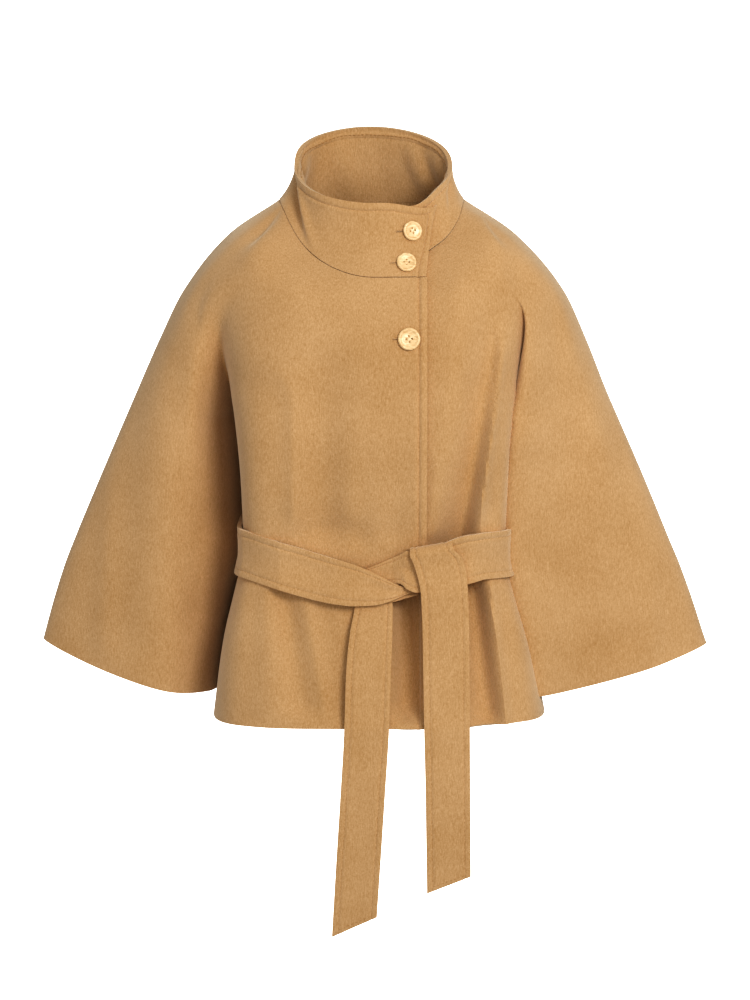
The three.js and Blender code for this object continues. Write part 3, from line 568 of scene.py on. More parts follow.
def body_grid(side, face):
    """The body part of a front or of half the back, from its centre to the valley."""
    rows = []
    for down in ROWS:
        level = body_level(down)
        if face == "back":
            turns = np.linspace(180, level.back_turn, BACK_STEPS + 1)
        elif side > 0:
            turns = np.linspace(turn_at_x(UNDERLAP_X, down), level.front_turn, FRONT_STEPS + 1)
        else:
            turns = np.linspace(0, level.front_turn, FRONT_STEPS + 1)
        rows.append([body_point(side, float(turn), down) for turn in turns])
    return np.array(rows)


def sleeve_grid(side, face):
    start = 0.0 if face == "front" else 1.0
    places = np.abs(start - np.linspace(0, 0.5, SLEEVE_STEPS + 1))
    return np.array([sleeve_row(side, down, places) for down in ROWS])


# How far down the rounding starts to fade on each side, how many columns it reaches, how much
# slower it fades over the body, and how often it is repeated.
SOFT_FROM, SOFT_REACH, SOFT_BODY, SOFT_ROUNDS = {-1: 0.2, 1: 0.27}, (6, 20), 0.6, 70


def soften(body, sleeve, side):
    """Rounds the line where body and sleeve join, above the underarm."""
    joined = np.concatenate([body, sleeve[:, 1:]], axis=1)
    seam = body.shape[1] - 1
    columns = np.arange(joined.shape[1]) - seam
    columns = np.where(columns < 0, -SOFT_BODY * columns, columns)
    near = 1 - smoothstep(columns, *SOFT_REACH)
    above = 1 - smoothstep(np.array(ROWS), SOFT_FROM[side], UNDERARM_DOWN)
    weight = (above[:, None] * near[None, :])[1:-1, 1:-1, None]
    for _ in range(SOFT_ROUNDS):
        around = (joined[1:-1, :-2] + joined[1:-1, 2:] + joined[:-2, 1:-1] + joined[2:, 1:-1]) / 4
        joined[1:-1, 1:-1] += (around - joined[1:-1, 1:-1]) * weight * 0.5
    for row, down in enumerate(ROWS):
        if down <= UNDERARM_DOWN:
            body[row], sleeve[row] = joined[row, :seam + 1], joined[row, seam:]
    return body, sleeve


def facing(grid, side, face):
    """Puts the columns in the order that runs to the right as seen from outside."""
    return grid if (side > 0) == (face == "front") else grid[:, ::-1]


def join_valley(body, sleeve):
    """Above the underarm the last column of the body is the first of the sleeve."""
    for row, down in enumerate(ROWS):
        if down <= UNDERARM_DOWN:
            sleeve[row, 0] = body[row, -1]
    return body, sleeve


print("rows:", len(ROWS), "columns:", FRONT_STEPS, "and", BACK_STEPS, "and", SLEEVE_STEPS)

# %% Lay the fronts and the back
grids = {}
for side in (-1, 1):
    for face in ("front", "back"):
        body, sleeve = join_valley(body_grid(side, face), sleeve_grid(side, face))
        grids[side, face] = soften(ease_to_neck(body, side), ease_to_neck(sleeve, side), side)
lap = np.array([[lap_point(float(x), down) for x in LAP_COLUMNS] for down in ROWS])
lap_normals = outward(lap)
lap += lap_normals * edge_relief(FRONT_EDGE_X - np.array(LAP_COLUMNS))[None, :, None]
stitch_column = LAP_COLUMNS.index(FRONT_EDGE_X - STITCH_IN)
front_stitches = lap[:-3, stitch_column], lap_normals[:-3, stitch_column]
left_body, left_sleeve = grids[1, "front"]
left_body, left_sleeve = (np.array([[tuck_in(p, tuck_share(p[0])) if p[1] < 0 else p for p in row]
                                    for row in part]) for part in (left_body, left_sleeve))

front_right = make_cloth("front_right_cloth", [
    *(facing(part, -1, "front") for part in grids[-1, "front"]), lap], COAT_CLOTH)
front_left = make_cloth("front_left_cloth", [left_body, left_sleeve], COAT_CLOTH)
back = make_cloth("back_cloth", [facing(part, side, "back") for side in (-1, 1)
                                 for part in grids[side, "back"]], COAT_CLOTH)

# %% [markdown]
# ## Collar
# The collar is one tall band of doubled cloth. It starts at the flap's end in front, runs round
# the wearer's right and the back, and ends tucked in under its own start. Its foot follows the
# neck seam and its rim is a tilted oval. Rows keep an even distance from the rim, so that one
# of them carries the topstitching, pressed a little into the cloth. The collar and the belt
# also get a very slight unevenness: cloth never lies as evenly as a formula does.

# %% Collar points
DOUBLED_CLOTH, DOUBLED_EDGE = 5.0, 2.1
RIM_HALF, RIM_FRONT, RIM_BACK, RIM_SQUARE = 85.5, 71, 62, 2.3
RIM_CENTRE_X, RIM_BACK_SHIFT = -1.6, 3.5
RIM_MIDDLE_Z, RIM_TILT_Z = 38, 39
COLLAR_FLARE = 2.2
FLAP_FOOT_TURN, FLAP_TOP_TURN, FLAP_DIP = 33, 50, 17
UNDER_END_TURN = -8
TUCK_FROM, TUCK_TO = 3, 32
UNDER_RIM_DROP = 1.5
UNDER_DIP_TURNS = (14, 60)
# A fold is its turn at the rim, its turn at the foot, its depth, and its spread in degrees.
COLLAR_FOLDS = [(-72, -40, -4, 6), (-94, -56, 10, 12), (86, 60, 6, 8), (-18, -26, 1.2, 14),
                (150, 138, 5, 8), (-122, -112, 4.5, 8), (-156, -162, 5, 8), (-140, -138, -2.5, 8),
                (174, 174, -2, 9), (126, 112, 5, 12)]
COLLAR_FOLD_END = 1.1
COLLAR_WIND = FLAP_FOOT_TURN - UNDER_END_TURN + 360
SEAM_GAP = 0.4


def half_turn(turn):
    """The same direction as a turn from -180 to 180."""
    return (turn + 180) % 360 - 180


def neck_point(turn):
    return point_at(abs(turn), NECK_TURNS, NECK[-1 if turn < 0 else 1][1])


def collar_point(wound, rise):
    """wound: degrees round from the flap's end. rise: 0 at the neck seam, 1 at the rim."""
    flap_end = lerp(FLAP_FOOT_TURN, FLAP_TOP_TURN, rise)
    shift = (flap_end - FLAP_FOOT_TURN) * (1 - smoothstep(wound, 0, 90))
    turn = half_turn(FLAP_FOOT_TURN + shift - wound)
    under = wound > 270
    seam = neck_point(turn)
    foot = lap_point(seam[0], 0) if seam[1] < 0 < seam[0] and not under else seam
    tucked_rim = 1 - smoothstep(turn, FLAP_TOP_TURN + TUCK_FROM, FLAP_TOP_TURN + TUCK_TO)
    tucked = lerp(tuck_share(foot[0]), tucked_rim, rise) if under else 0
    dip = FLAP_DIP * smoothstep(turn, 5, FLAP_TOP_TURN)
    rim = ring_point(RIM_HALF, RIM_FRONT, RIM_BACK, RIM_SQUARE, turn)
    rim[0] += RIM_CENTRE_X - RIM_BACK_SHIFT * smoothstep(rim[1], 0, 55)
    rim[2] = RIM_MIDDLE_Z - RIM_TILT_Z * math.cos(math.radians(turn))
    under_dip = dip * (1 - smoothstep(turn, *UNDER_DIP_TURNS)) + UNDER_RIM_DROP * tucked_rim
    rim[2] -= dip if wound < 180 else (under_dip if under else 0)
    leaning = 1 - (1 - rise) ** COLLAR_FLARE
    point = foot + (rim - foot) * (leaning, leaning, rise)
    outwards = np.array([point[0] / RIM_HALF, point[1] / RIM_FRONT, 0.0])
    outwards /= np.linalg.norm(outwards)
    point = tuck_in(point, tucked)
    for rim_turn, foot_turn, depth, spread in COLLAR_FOLDS:
        across = half_turn(turn - lerp(foot_turn, rim_turn, rise)) / spread
        hump = math.sin(math.pi * min(max(rise * COLLAR_FOLD_END, 0), 1))
        hump = hump if rise < 1 / COLLAR_FOLD_END else 0
        point = point - outwards * depth * math.exp(-across * across) * hump
    point[2] += (1 - rise) * SEAM_GAP * 2
    return point


print("the collar winds", COLLAR_WIND, "degrees round the neck")

# %% Lay the collar
RIM_ROWS = [0, 1.6, 3.4, 5.2, 6.8, 7.8, STITCH_IN, 9.8, 11, 13]
COLLAR_ROWS, COLLAR_COLUMNS = 30, 240
MEASURED_RISES, MEASURED_TURNS = 26, 42
FINE_SIZE, FINE_SHARE = 2.7, 0.4


def uneven(points, strength, size=70.0):
    """Moves each point a little along the normals, by smooth noise that depends on its place."""
    normals = outward(points)
    for row in range(points.shape[0]):
        for column in range(points.shape[1]):
            place = Vector(points[row, column]) / size
            height = noise.noise(place) + FINE_SHARE * noise.noise(place * FINE_SIZE)
            points[row, column] += normals[row, column] * height * strength
    return points


def collar_grid():
    """Rows at even distances from the rim, columns at even distances from the flap's end."""
    rises = np.linspace(1, 0, MEASURED_RISES)
    winds = np.linspace(0, COLLAR_WIND, MEASURED_TURNS)
    steps = [collar_point(4, float(rise)) - collar_point(0, float(rise)) for rise in rises]
    mm_per_degree = np.array([np.linalg.norm(step) / 4 for step in steps])
    heights = []
    for wound in winds:
        line = np.array([collar_point(float(wound), float(rise)) for rise in rises])
        heights.append(np.linalg.norm(np.diff(line, axis=0), axis=1).sum())
    rows = []
    for row in range(len(RIM_ROWS) + COLLAR_ROWS):
        points = []
        for column in range(len(RIM_ROWS) + COLLAR_COLUMNS):
            share = (column - len(RIM_ROWS) + 1) / COLLAR_COLUMNS
            rise = 1.0
            for _ in range(2):
                pace = float(np.interp(rise, rises[::-1], mm_per_degree[::-1]))
                near_end = RIM_ROWS[min(column, len(RIM_ROWS) - 1)] / pace
                wound = near_end if share <= 0 else lerp(near_end, COLLAR_WIND, share)
                height = float(np.interp(wound, winds, heights))
                near_rim = RIM_ROWS[min(row, len(RIM_ROWS) - 1)] / height
                down = (row - len(RIM_ROWS) + 1) / COLLAR_ROWS
                rise = 1 - (near_rim if down <= 0 else lerp(near_rim, 1, down))
            points.append(collar_point(wound, max(rise, 0.0)))
        rows.append(points)
    return np.array(rows)


collar_points = collar_grid()
stitch_row = RIM_ROWS.index(STITCH_IN)
far = np.full(collar_points.shape[:2], 99.0)
rim_away, end_away = far.copy(), far.copy()
for index, distance in enumerate(RIM_ROWS):
    rim_away[index, :] = distance
    end_away[:, index] = distance
relief = edge_relief(np.minimum(rim_away, end_away), depth=0.9, puff=0.5, width=1.2)
collar_points = uneven(collar_points[:, ::-1], 0.5)[:, ::-1]
collar_normals = -outward(collar_points)
collar_points = collar_points + collar_normals * relief[..., None]
collar = make_cloth("collar_cloth", [collar_points[:, ::-1]], DOUBLED_CLOTH, edge=DOUBLED_EDGE)

# %% [markdown]
# ## Neck tape
# A narrow tape covers the neck seam from the inside, as in most coats. Here it also stops the
# light that would pass through the groove of the seam. It follows the seam a few millimetres
# further in, and it is one more thin grid.

# %% A tape behind the neck seam
TAPE_CLOTH, TAPE_EDGE, TAPE_COLUMNS = 0.8, 0.2, 120
TAPE_IN, TAPE_TURNS, TAPE_ROWS = 3.9, (62, 322), (3.0, 0.5, -2.5, -5.5)


def tape_point(turn, height):
    seam = neck_point(half_turn(turn))
    inwards = -np.array([seam[0], seam[1], 0.0]) / np.hypot(seam[0], seam[1])
    return seam + inwards * TAPE_IN + (0, 0, height)


tape_points = np.array([[tape_point(turn, height)
                         for turn in np.linspace(*TAPE_TURNS, TAPE_COLUMNS)]
                        for height in TAPE_ROWS])
neck_tape = make_cloth("neck_tape", [tape_points], TAPE_CLOTH, edge=TAPE_EDGE)

# %% [markdown]
# ## Belt
# The belt is a long flat strap of doubled cloth, tied once in front. Each strand follows the
# coat at some height above it, so that strands pass over each other. Its two ends hang down.
# One of them comes up behind a strand, folds over its top edge and hangs in front of it.

# %% Tables of the belt
STRAND_COLUMNS = "place x top foot lift"
RIGHT_STRAND = [
    (45, -409.5, -413, 0.5), (35, -409, -416, 0.7), (26, -406.8, -419.5, 4.2),
    (16, -401.5, -423, 6.8), (0, -393.5, -427, 7), (-23, -384, -428, 7), (-44, -378, -426, 6),
    (-62, -373, -423, 3.2), (-82, -367, -418, 1.8), (-104, -361, -412, 1.8),
]
LEFT_STRAND = [
    (117, -351.5, -401.5, 2.0), (102, -352.5, -404.5, 7.2), (90, -355, -407, 7.6),
    (80, -358.5, -409, 7.6), (70, -364.5, -411, 7.6), (58, -369, -413, 7.6),
    (44, -371.5, -413.5, 7.4), (34, -369.5, -410, 7), (26, -374, -404.6, 3.6),
    (16, -379, -405, 0.6), (4, -384.5, -403, 0.5), (-8, -389.5, -400, 0.5),
    (-16, -393, -398, 0.5),
]
SIDE_TOP, SIDE_FOOT, SIDE_LIFT = -351.5, -402, 1.0
BACK_TOP, BACK_FOOT = -347, -397
SIDE_TURNS = (50, 176)
# A row of a hanging end has one edge at x1, z1 and the other at x2, z2. Its last value is its
# distance from the coat.
TAIL_COLUMNS = "place x1 x2 z1 z2 off"
LEFT_TAIL_TOP = (37, 76, -373, -366)
LEFT_TAIL_WIDENS = 8.5
LEFT_TAIL_LAP = 26
LEFT_TAIL = [
    (39, 88.5, -378, -371, 13.4), (41.5, 93.5, -384, -377.5, 13.4), (45, 97, -395, -390, 13.4),
    (48.5, 99, -412, -409, 13.2), (50.5, 100.5, -450, -449, 8.5),
    (51.5, 101, -500, -500, 4), (52.5, 101.5, -561, -561, 2), (54, 102, -620, -619, 3),
    (55, 102.5, -680, -674, 2), (56, 103, -739, -721, 0),
]
RIGHT_TAIL = [
    (-21, 15, -413, -411, 0.6), (-22, 19, -431, -429, 0.8), (-27, 18.5, -458, -456, 4.5),
    (-31, 17, -500, -499, 5), (-33, 15, -561, -560, 3), (-37, 11, -630, -625, 4),
    (-42, 6.5, -710, -696, 3), (-46.5, 2, -787, -765, 1),
]
LOOSE_GAP = 1.2
STRAND_STEPS, SIDE_STEPS, TAIL_STEPS = {"right": 64, "left": 70}, 64, 110
BELT_STITCH = 0.132
ACROSS = [0, 0.03, 0.065, 0.1, 0.117, BELT_STITCH, 0.147, 0.165, 0.21, 0.28, 0.36, 0.44]
ACROSS = [*ACROSS, 0.5, *[1 - share for share in reversed(ACROSS)]]
print("the belt has", len(ACROSS), "points across")

# %% Points of the belt
def over_coat(side, turn, z, lift):
    """A point over the unfolded coat, lifted straight outwards."""
    down = down_at_z(z)
    around = body_point(side, turn + 0.5, down, False) - body_point(side, turn - 0.5, down, False)
    outwards = np.array([side * around[1], -side * around[0], 0.0])
    return body_point(side, turn, down, False) + outwards / np.linalg.norm(outwards) * lift


def over_coat_at_x(x, z, lift):
    """The same, at a distance x from the centre that is measured on the lifted point."""
    down, base = down_at_z(z), x
    for _ in range(8):
        level = body_level(down)
        side = -1 if base < level.sway else 1
        point = over_coat(side, turn_at_x(base, down), z, lift)
        base += x - point[0]
    return point


def smooth_rows(columns, rows, steps):
    """More rows between those of a table."""
    read = smooth_table(columns, [(place, *row) for place, row in enumerate(rows)])
    return [read(float(place)) for place in np.linspace(0, len(rows) - 1, steps)]


PINCHES = {
    "right": [(14, 0.5, 1.6, 17, 0.16), (4, 0.14, -0.9, 16, 0.12), (-52, 0.45, 1.0, 26, 0.3)],
    "left": [(34, 0.5, 2.6, 6, 0.10), (20, 0.28, -1.4, 10, 0.16), (18, 0.7, 1.0, 9, 0.14),
             (94, 0.3, 1.0, 14, 0.3)],
}


def pinch(strand, x, share):
    """Short creases where the knot gathers a strand, as places with a depth and a spread."""
    return sum(depth * math.exp(-((x - at_x) / spread_x) ** 2 - ((share - at) / spread) ** 2)
               for at_x, at, depth, spread_x, spread in PINCHES[strand])


def strand_points(strand, rows):
    return [[over_coat_at_x(row.x, lerp(row.top, row.foot, share),
                            row.lift + DOUBLED_CLOTH - pinch(strand, row.x, share))
             for share in ACROSS]
            for row in smooth_rows(STRAND_COLUMNS, rows, STRAND_STEPS[strand])]


def side_points(side):
    found = []
    for turn in np.linspace(*SIDE_TURNS, SIDE_STEPS):
        share = smoothstep(turn, 80, 160)
        top, foot = lerp(SIDE_TOP, BACK_TOP, share), lerp(SIDE_FOOT, BACK_FOOT, share)
        found.append([over_coat(side, float(turn), lerp(top, foot, across),
                                SIDE_LIFT + DOUBLED_CLOTH) for across in ACROSS])
    return found


def tail_row(row):
    """One row across a hanging end. Below the hem it hangs straight down from it."""
    found = []
    for share in ACROSS:
        x, z = lerp(row.x1, row.x2, share), lerp(row.z1, row.z2, share)
        point = over_coat_at_x(x, max(z, BODY_ROWS[-1][8] + 1), row.off + DOUBLED_CLOTH)
        found.append([point[0], point[1], z])
    return found


def hook_row(angle, drop, back_lift, front_lift):
    """One row of the loop over the top edge of the strand."""
    found = []
    for share in ACROSS:
        x = lerp(LEFT_TAIL_TOP[0], LEFT_TAIL_TOP[1] + LEFT_TAIL_WIDENS * angle / math.pi, share)
        z = lerp(LEFT_TAIL_TOP[2], LEFT_TAIL_TOP[3], share) - drop
        middle, radius = (back_lift + front_lift) / 2, (front_lift - back_lift) / 2
        point = over_coat_at_x(x, z, middle - radius * math.cos(angle))
        point[2] += radius * math.sin(angle)
        found.append(point)
    return found


def press_stitch_lines(points, axis):
    """Presses the two lines of topstitching into a strap whose width runs along one axis."""
    inwards = np.minimum(ACROSS, 1 - np.array(ACROSS)) / BELT_STITCH * STITCH_IN
    relief = edge_relief(inwards, depth=0.55, puff=0.3, width=1.2)
    return points + outward(points) * relief.reshape((1, -1, 1) if axis == 1 else (-1, 1, 1))


def lay_strap(name, rows, strength, axis):
    """Makes a strap, and keeps the points of its outer face for the stitching."""
    points = press_stitch_lines(uneven(np.array(rows), strength), axis)
    return make_cloth(name, [points], DOUBLED_CLOTH, edge=DOUBLED_EDGE), points


def hanging_rows(rows):
    return [tail_row(row) for row in smooth_rows(TAIL_COLUMNS, rows, TAIL_STEPS)]

# %% Lay the belt and its ends
belt_rows = [*strand_points("right", RIGHT_STRAND), *side_points(-1), *side_points(1)[::-1],
             *strand_points("left", LEFT_STRAND)]
belt, belt_points = lay_strap("belt_cloth", np.array(belt_rows).transpose(1, 0, 2)[:, ::-1], 0.4, 0)
lifts = LOOSE_GAP, LEFT_TAIL[0][4] + DOUBLED_CLOTH
hook = [hook_row(0, LEFT_TAIL_LAP * share, *lifts) for share in np.linspace(1, 0.12, 9)]
hook += [hook_row(math.pi * share, 2, *lifts) for share in np.linspace(0, 1, 14)]
left_tail, left_tail_points = lay_strap(
    "belt_tail_left_cloth", [*hook, *hanging_rows(LEFT_TAIL)], 0.5, 1)
right_tail, right_tail_points = lay_strap(
    "belt_tail_right_cloth", hanging_rows(RIGHT_TAIL), 0.5, 1)

# %% [markdown]
# ## Topstitching
# A line of stitches runs along the collar's rim and end, the front edge, and both edges of the
# belt. One stitch is a small bead. The Array modifier repeats it in a straight row, and the
# Curve modifier bends that row to its line, which is a quick way to sew many equal stitches.

# %% Sew a line
STITCH_PITCH = 4.6
END_STITCH_IN = 6.5


def sew(name, points, normals, lift=-0.25):
    """Sews along points in millimetres, with the beads sunk a little below the cloth."""
    path = (np.array(points) + np.array(normals) * lift) * MM
    curve = bpy.data.curves.new(name + "_path", "CURVE")
    curve.dimensions = "3D"
    spline = curve.splines.new("POLY")
    spline.points.add(len(path) - 1)
    spline.points.foreach_set("co", np.hstack([path, np.ones((len(path), 1))]).ravel())
    guide = bpy.data.objects.new(name + "_path", curve)
    bpy.context.collection.objects.link(guide)
    length = np.linalg.norm(np.diff(path, axis=0), axis=1).sum()
    count = max(int(length / (STITCH_PITCH * MM)), 1)
    deselect_all()
    bpy.ops.mesh.primitive_uv_sphere_add(segments=6, ring_count=5, radius=MM)
    line = bpy.context.active_object
    rename(line, name)
    bpy.ops.object.mode_set(mode="EDIT")
    bpy.ops.mesh.select_all(action="SELECT")
    bpy.ops.transform.rotate(value=math.pi / 2, orient_axis="Y", center_override=(0, 0, 0))
    bpy.ops.transform.resize(value=(1.75, 0.5, 0.5))
    bpy.ops.transform.translate(value=(STITCH_PITCH / 2 * MM, 0, 0))
    bpy.ops.object.mode_set(mode="OBJECT")
    bpy.ops.object.shade_smooth()
    apply_modifier(line, "ARRAY", count=count, use_relative_offset=False, use_constant_offset=True,
                   constant_offset_displace=(length / count, 0, 0))
    apply_modifier(line, "CURVE", object=guide, deform_axis="POS_X")
    bpy.data.objects.remove(guide)
    return line


def join_lines(name, lines):
    line = join(name, lines)
    print(name, "has", len(line.data.polygons), "faces")
    return line


front_stitching = join_lines("front_stitching", [sew("front_line", *front_stitches)])
rim_line = collar_points[stitch_row, stitch_row:], collar_normals[stitch_row, stitch_row:]
end_line = collar_points[stitch_row:-1, stitch_row], collar_normals[stitch_row:-1, stitch_row]
inside = rim_line[0] - rim_line[1] * (DOUBLED_CLOTH + 0.2), -rim_line[1]
collar_stitching = join_lines("collar_stitching", [
    sew("rim_line", *rim_line), sew("end_line", *end_line),
    sew("rim_line_inside", *inside, lift=-0.1)])


def strap_lines(name, points, axis):
    """The two stitched lines of a strap, near its edges."""
    normals = outward(points)
    first = ACROSS.index(BELT_STITCH)
    both = (first, len(ACROSS) - 1 - first)
    return [sew(f"{name}_{index}", points.take(index, axis), normals.take(index, axis))
            for index in (both if axis == 1 else both[::-1])]


def end_stitches(name, points):
    """The stitched line across the lower end of a hanging end."""
    normals = outward(points)
    row = -1 - int(round(END_STITCH_IN / np.linalg.norm(points[-1, 8] - points[-2, 8])))
    first = ACROSS.index(BELT_STITCH)
    return sew(name, points[row, first:-first], normals[row, first:-first])


belt_stitching = join_lines("belt_stitching", strap_lines("belt_line", belt_points, 0))
left_tail_stitching, right_tail_stitching = (
    join_lines(f"belt_tail_{hand}_stitching", [
        *strap_lines(f"{hand}_tail_line", points, 1), end_stitches(f"{hand}_tail_end", points)])
    for hand, points in (("left", left_tail_points), ("right", right_tail_points)))

# %% [markdown]
# ## Buttons
# A coat button is turned from horn: a raised rim round a dished middle with four holes. Here a
# cylinder gets its profile by insets, each one moved up or down, and boolean cutters drill the
# holes. Each button is modelled flat at the origin, then turned and moved into its place.

# %% Turn and drill a button
# Sizes of a button and its thread as shares of the button's radius.
FOOT_SHARE, HOLES_AWAY, DRILL, THREAD, SHANK = 0.82, 0.25, 0.07, 0.066, 0.24
# Each step of the profile goes inwards by a share of the radius, and up by one of the height.
TURNED_STEPS = ((0.05, 0.34), (0.06, 0.14), (0.08, 0.02), (0.07, -0.1), (0.08, -0.14),
                (0.12, -0.06))


def hole_place(corner, radius, height):
    angle = math.radians(45 + 90 * corner)
    return math.cos(angle) * radius * HOLES_AWAY, math.sin(angle) * radius * HOLES_AWAY, height


def select_top(piece, height, tolerance=1e-5):
    bpy.ops.object.mode_set(mode="OBJECT")
    for face in piece.data.polygons:
        face.select = face.normal.z > 0.9 and abs(face.center.z - height) < tolerance
    bpy.ops.object.mode_set(mode="EDIT")


def make_button(name, radius, height):
    """A button on the XY plane that faces +Z, in metres."""
    deselect_all()
    foot = radius * FOOT_SHARE
    bpy.ops.mesh.primitive_cylinder_add(vertices=64, radius=foot, depth=height * 0.5,
                                        location=(0, 0, height * 0.25), end_fill_type="NGON")
    button = bpy.context.active_object
    rename(button, name)
    bpy.ops.object.transform_apply(location=True, rotation=False, scale=False)
    bpy.ops.object.mode_set(mode="EDIT")
    bpy.ops.mesh.select_all(action="DESELECT")
    bpy.ops.mesh.select_mode(type="FACE")
    select_top(button, height * 0.5)
    bpy.ops.transform.resize(value=(1 / FOOT_SHARE, 1 / FOOT_SHARE, 1))
    for inwards, up in TURNED_STEPS:
        bpy.ops.mesh.inset(thickness=radius * inwards, depth=0)
        bpy.ops.transform.translate(value=(0, 0, height * up))
    bpy.ops.object.mode_set(mode="OBJECT")
    cutters = []
    for corner in range(4):
        bpy.ops.mesh.primitive_cylinder_add(vertices=20, radius=radius * DRILL, depth=height * 2,
                                            location=hole_place(corner, radius, height * 0.4))
        cutters.append(bpy.context.active_object)
    drills = join("drills", cutters)
    apply_modifier(button, "BOOLEAN", operation="DIFFERENCE", object=drills, solver="EXACT")
    bpy.data.objects.remove(drills)
    apply_modifier(button, "BEVEL", width=radius * 0.022, segments=2, limit_method="ANGLE",
                   angle_limit=math.radians(24))
    pick(button)
    bpy.ops.object.shade_smooth_by_angle(angle=math.radians(50))
    return button


def make_thread(name, radius, height):
    """Sewing thread: it fills three of the holes, and makes a short shank behind the button."""
    parts = []
    for corner in range(1, 4):
        bpy.ops.mesh.primitive_cylinder_add(vertices=12, radius=radius * THREAD, depth=height * 0.3,
                                            location=hole_place(corner, radius, height * 0.52))
        parts.append(bpy.context.active_object)
        bpy.ops.object.mode_set(mode="EDIT")
        bpy.ops.mesh.bevel(offset=radius * 0.03, segments=2)
        bpy.ops.object.mode_set(mode="OBJECT")
    bpy.ops.mesh.primitive_cylinder_add(vertices=16, radius=radius * SHANK, depth=0.0006,
                                        location=(0, 0, -0.0001))
    parts.append(bpy.context.active_object)
    thread = join(name, parts)
    bpy.ops.object.transform_apply(location=True, rotation=True, scale=True)
    return thread

# %% Sew the buttons on
# Radius and height in millimetres, and how far the holes are turned, in degrees.
BUTTONS = {"button_collar_top": (10.8, 3.2, -34), "button_collar_low": (10.8, 3.2, -48),
           "button_front": (12.2, 3.6, -40)}


def button_place(name):
    """The middle of the back of a rigid button, and the direction that it faces."""
    corners = [Vector(vertex.co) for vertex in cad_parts[name].data.vertices]
    middle = sum(corners, Vector()) / len(corners)
    points = np.array([corner - middle for corner in corners])
    facing_out = Vector(np.linalg.svd(points, full_matrices=False)[2][2])
    if facing_out.y > 0:
        facing_out.negate()
    lowest = min((corner - middle).dot(facing_out) for corner in corners)
    return middle + facing_out * lowest, facing_out


def put_in_place(piece, place, facing_out, spin):
    turned = facing_out.to_track_quat("Z", "Y") @ Quaternion((0, 0, 1), math.radians(spin))
    piece.rotation_mode = "QUATERNION"
    piece.rotation_quaternion = turned
    piece.location = place
    pick(piece)
    bpy.ops.object.transform_apply(location=True, rotation=True, scale=True)


buttons, threads = {}, {}
for name, (radius, height, spin) in BUTTONS.items():
    place, facing_out = button_place(name)
    buttons[name] = make_button(name + "_horn", radius * MM, height * MM)
    threads[name] = make_thread(name + "_thread", radius * MM, height * MM)
    for piece in (buttons[name], threads[name]):
        put_in_place(piece, place, facing_out, spin)
    print(name, "faces", [round(v, 2) for v in facing_out])

# %% [markdown]
# ## Buttonholes
# Each button comes through a slit that lies across the front. Its lips are sewn over with
# thread. A thin boolean box cuts the slit part of the way into the cloth, and the lips are a
# torus, pulled long.

# %% Cut and sew the buttonholes
# In metres: the box that cuts, its distance from the button's middle, and the two lips.
HOLE_SIZE, HOLE_FROM_BUTTON = (0.022, 0.0005, 0.005), 0.0056
LIP_RADIUS, LIP_THREAD = 0.00075, 0.00055


def stand_on(piece, place, across, facing_out):
    """Turns a piece so that its X runs across and its Z faces out, and applies that."""
    up = facing_out.cross(across).normalized()
    turned = Matrix((across, up, facing_out)).transposed().to_4x4()
    piece.matrix_world = Matrix.Translation(place) @ turned
    pick(piece)
    bpy.ops.object.transform_apply(location=True, rotation=True, scale=True)


def make_buttonhole(name, cloth, button):
    place, facing_out = button_place(button)
    across = Vector((0, 0, 1)).cross(facing_out).normalized()
    _, place, facing_out, _ = cloth.closest_point_on_mesh(place - across * HOLE_FROM_BUTTON)
    across = (across - facing_out * across.dot(facing_out)).normalized()
    deselect_all()
    bpy.ops.mesh.primitive_cube_add(size=1)
    cutter = bpy.context.active_object
    bpy.ops.object.mode_set(mode="EDIT")
    bpy.ops.transform.resize(value=HOLE_SIZE)
    bpy.ops.object.mode_set(mode="OBJECT")
    stand_on(cutter, place, across, facing_out)
    apply_modifier(cloth, "BOOLEAN", operation="DIFFERENCE", object=cutter, solver="EXACT")
    bpy.data.objects.remove(cutter)
    deselect_all()
    bpy.ops.mesh.primitive_torus_add(major_radius=LIP_RADIUS, minor_radius=LIP_THREAD,
                                     major_segments=24, minor_segments=8)
    lips = bpy.context.active_object
    rename(lips, name)
    points = lips.data.vertices
    for vertex in points:
        vertex.select = vertex.co.x > 0
    for part in (*lips.data.edges, *lips.data.polygons):
        part.select = all(points[index].select for index in part.vertices)
    bpy.ops.object.mode_set(mode="EDIT")
    bpy.ops.transform.translate(value=(HOLE_SIZE[0], 0, 0))
    bpy.ops.mesh.select_all(action="SELECT")
    bpy.ops.transform.translate(value=(-HOLE_SIZE[0] / 2, 0, 0))
    bpy.ops.object.mode_set(mode="OBJECT")
    bpy.ops.object.shade_smooth()
    stand_on(lips, place, across, facing_out)
    return lips


buttonholes = {button: make_buttonhole(button.replace("button", "buttonhole"), cloth, button)
               for button, cloth in (("button_collar_top", collar), ("button_collar_low", collar),
                                     ("button_front", front_right))}
print("buttonholes:", [piece.name for piece in buttonholes.values()])

# %% [markdown]
# ## Materials
# Brushed wool is soft and matt. Its colour is uneven at two scales: faint clouds a hand wide,
# and a fine mix of fibres. The nap scatters light at grazing angles, which is what the sheen of
# the Principled BSDF does. The weave under the nap is only just visible, as short streaks.

# %% A group for woolly cloth
def link(tree, *pairs):
    for out_socket, in_socket in pairs:
        tree.links.new(out_socket, in_socket)


def node(tree, kind, **settings):
    made = tree.nodes.new("ShaderNode" + kind)
    for key, value in settings.items():
        if key in made.inputs.keys():
            made.inputs[key].default_value = value
        else:
            setattr(made, key, value)
    return made


def set_inputs(shader, values):
    for name, value in values.items():
        shader.inputs[name].default_value = value


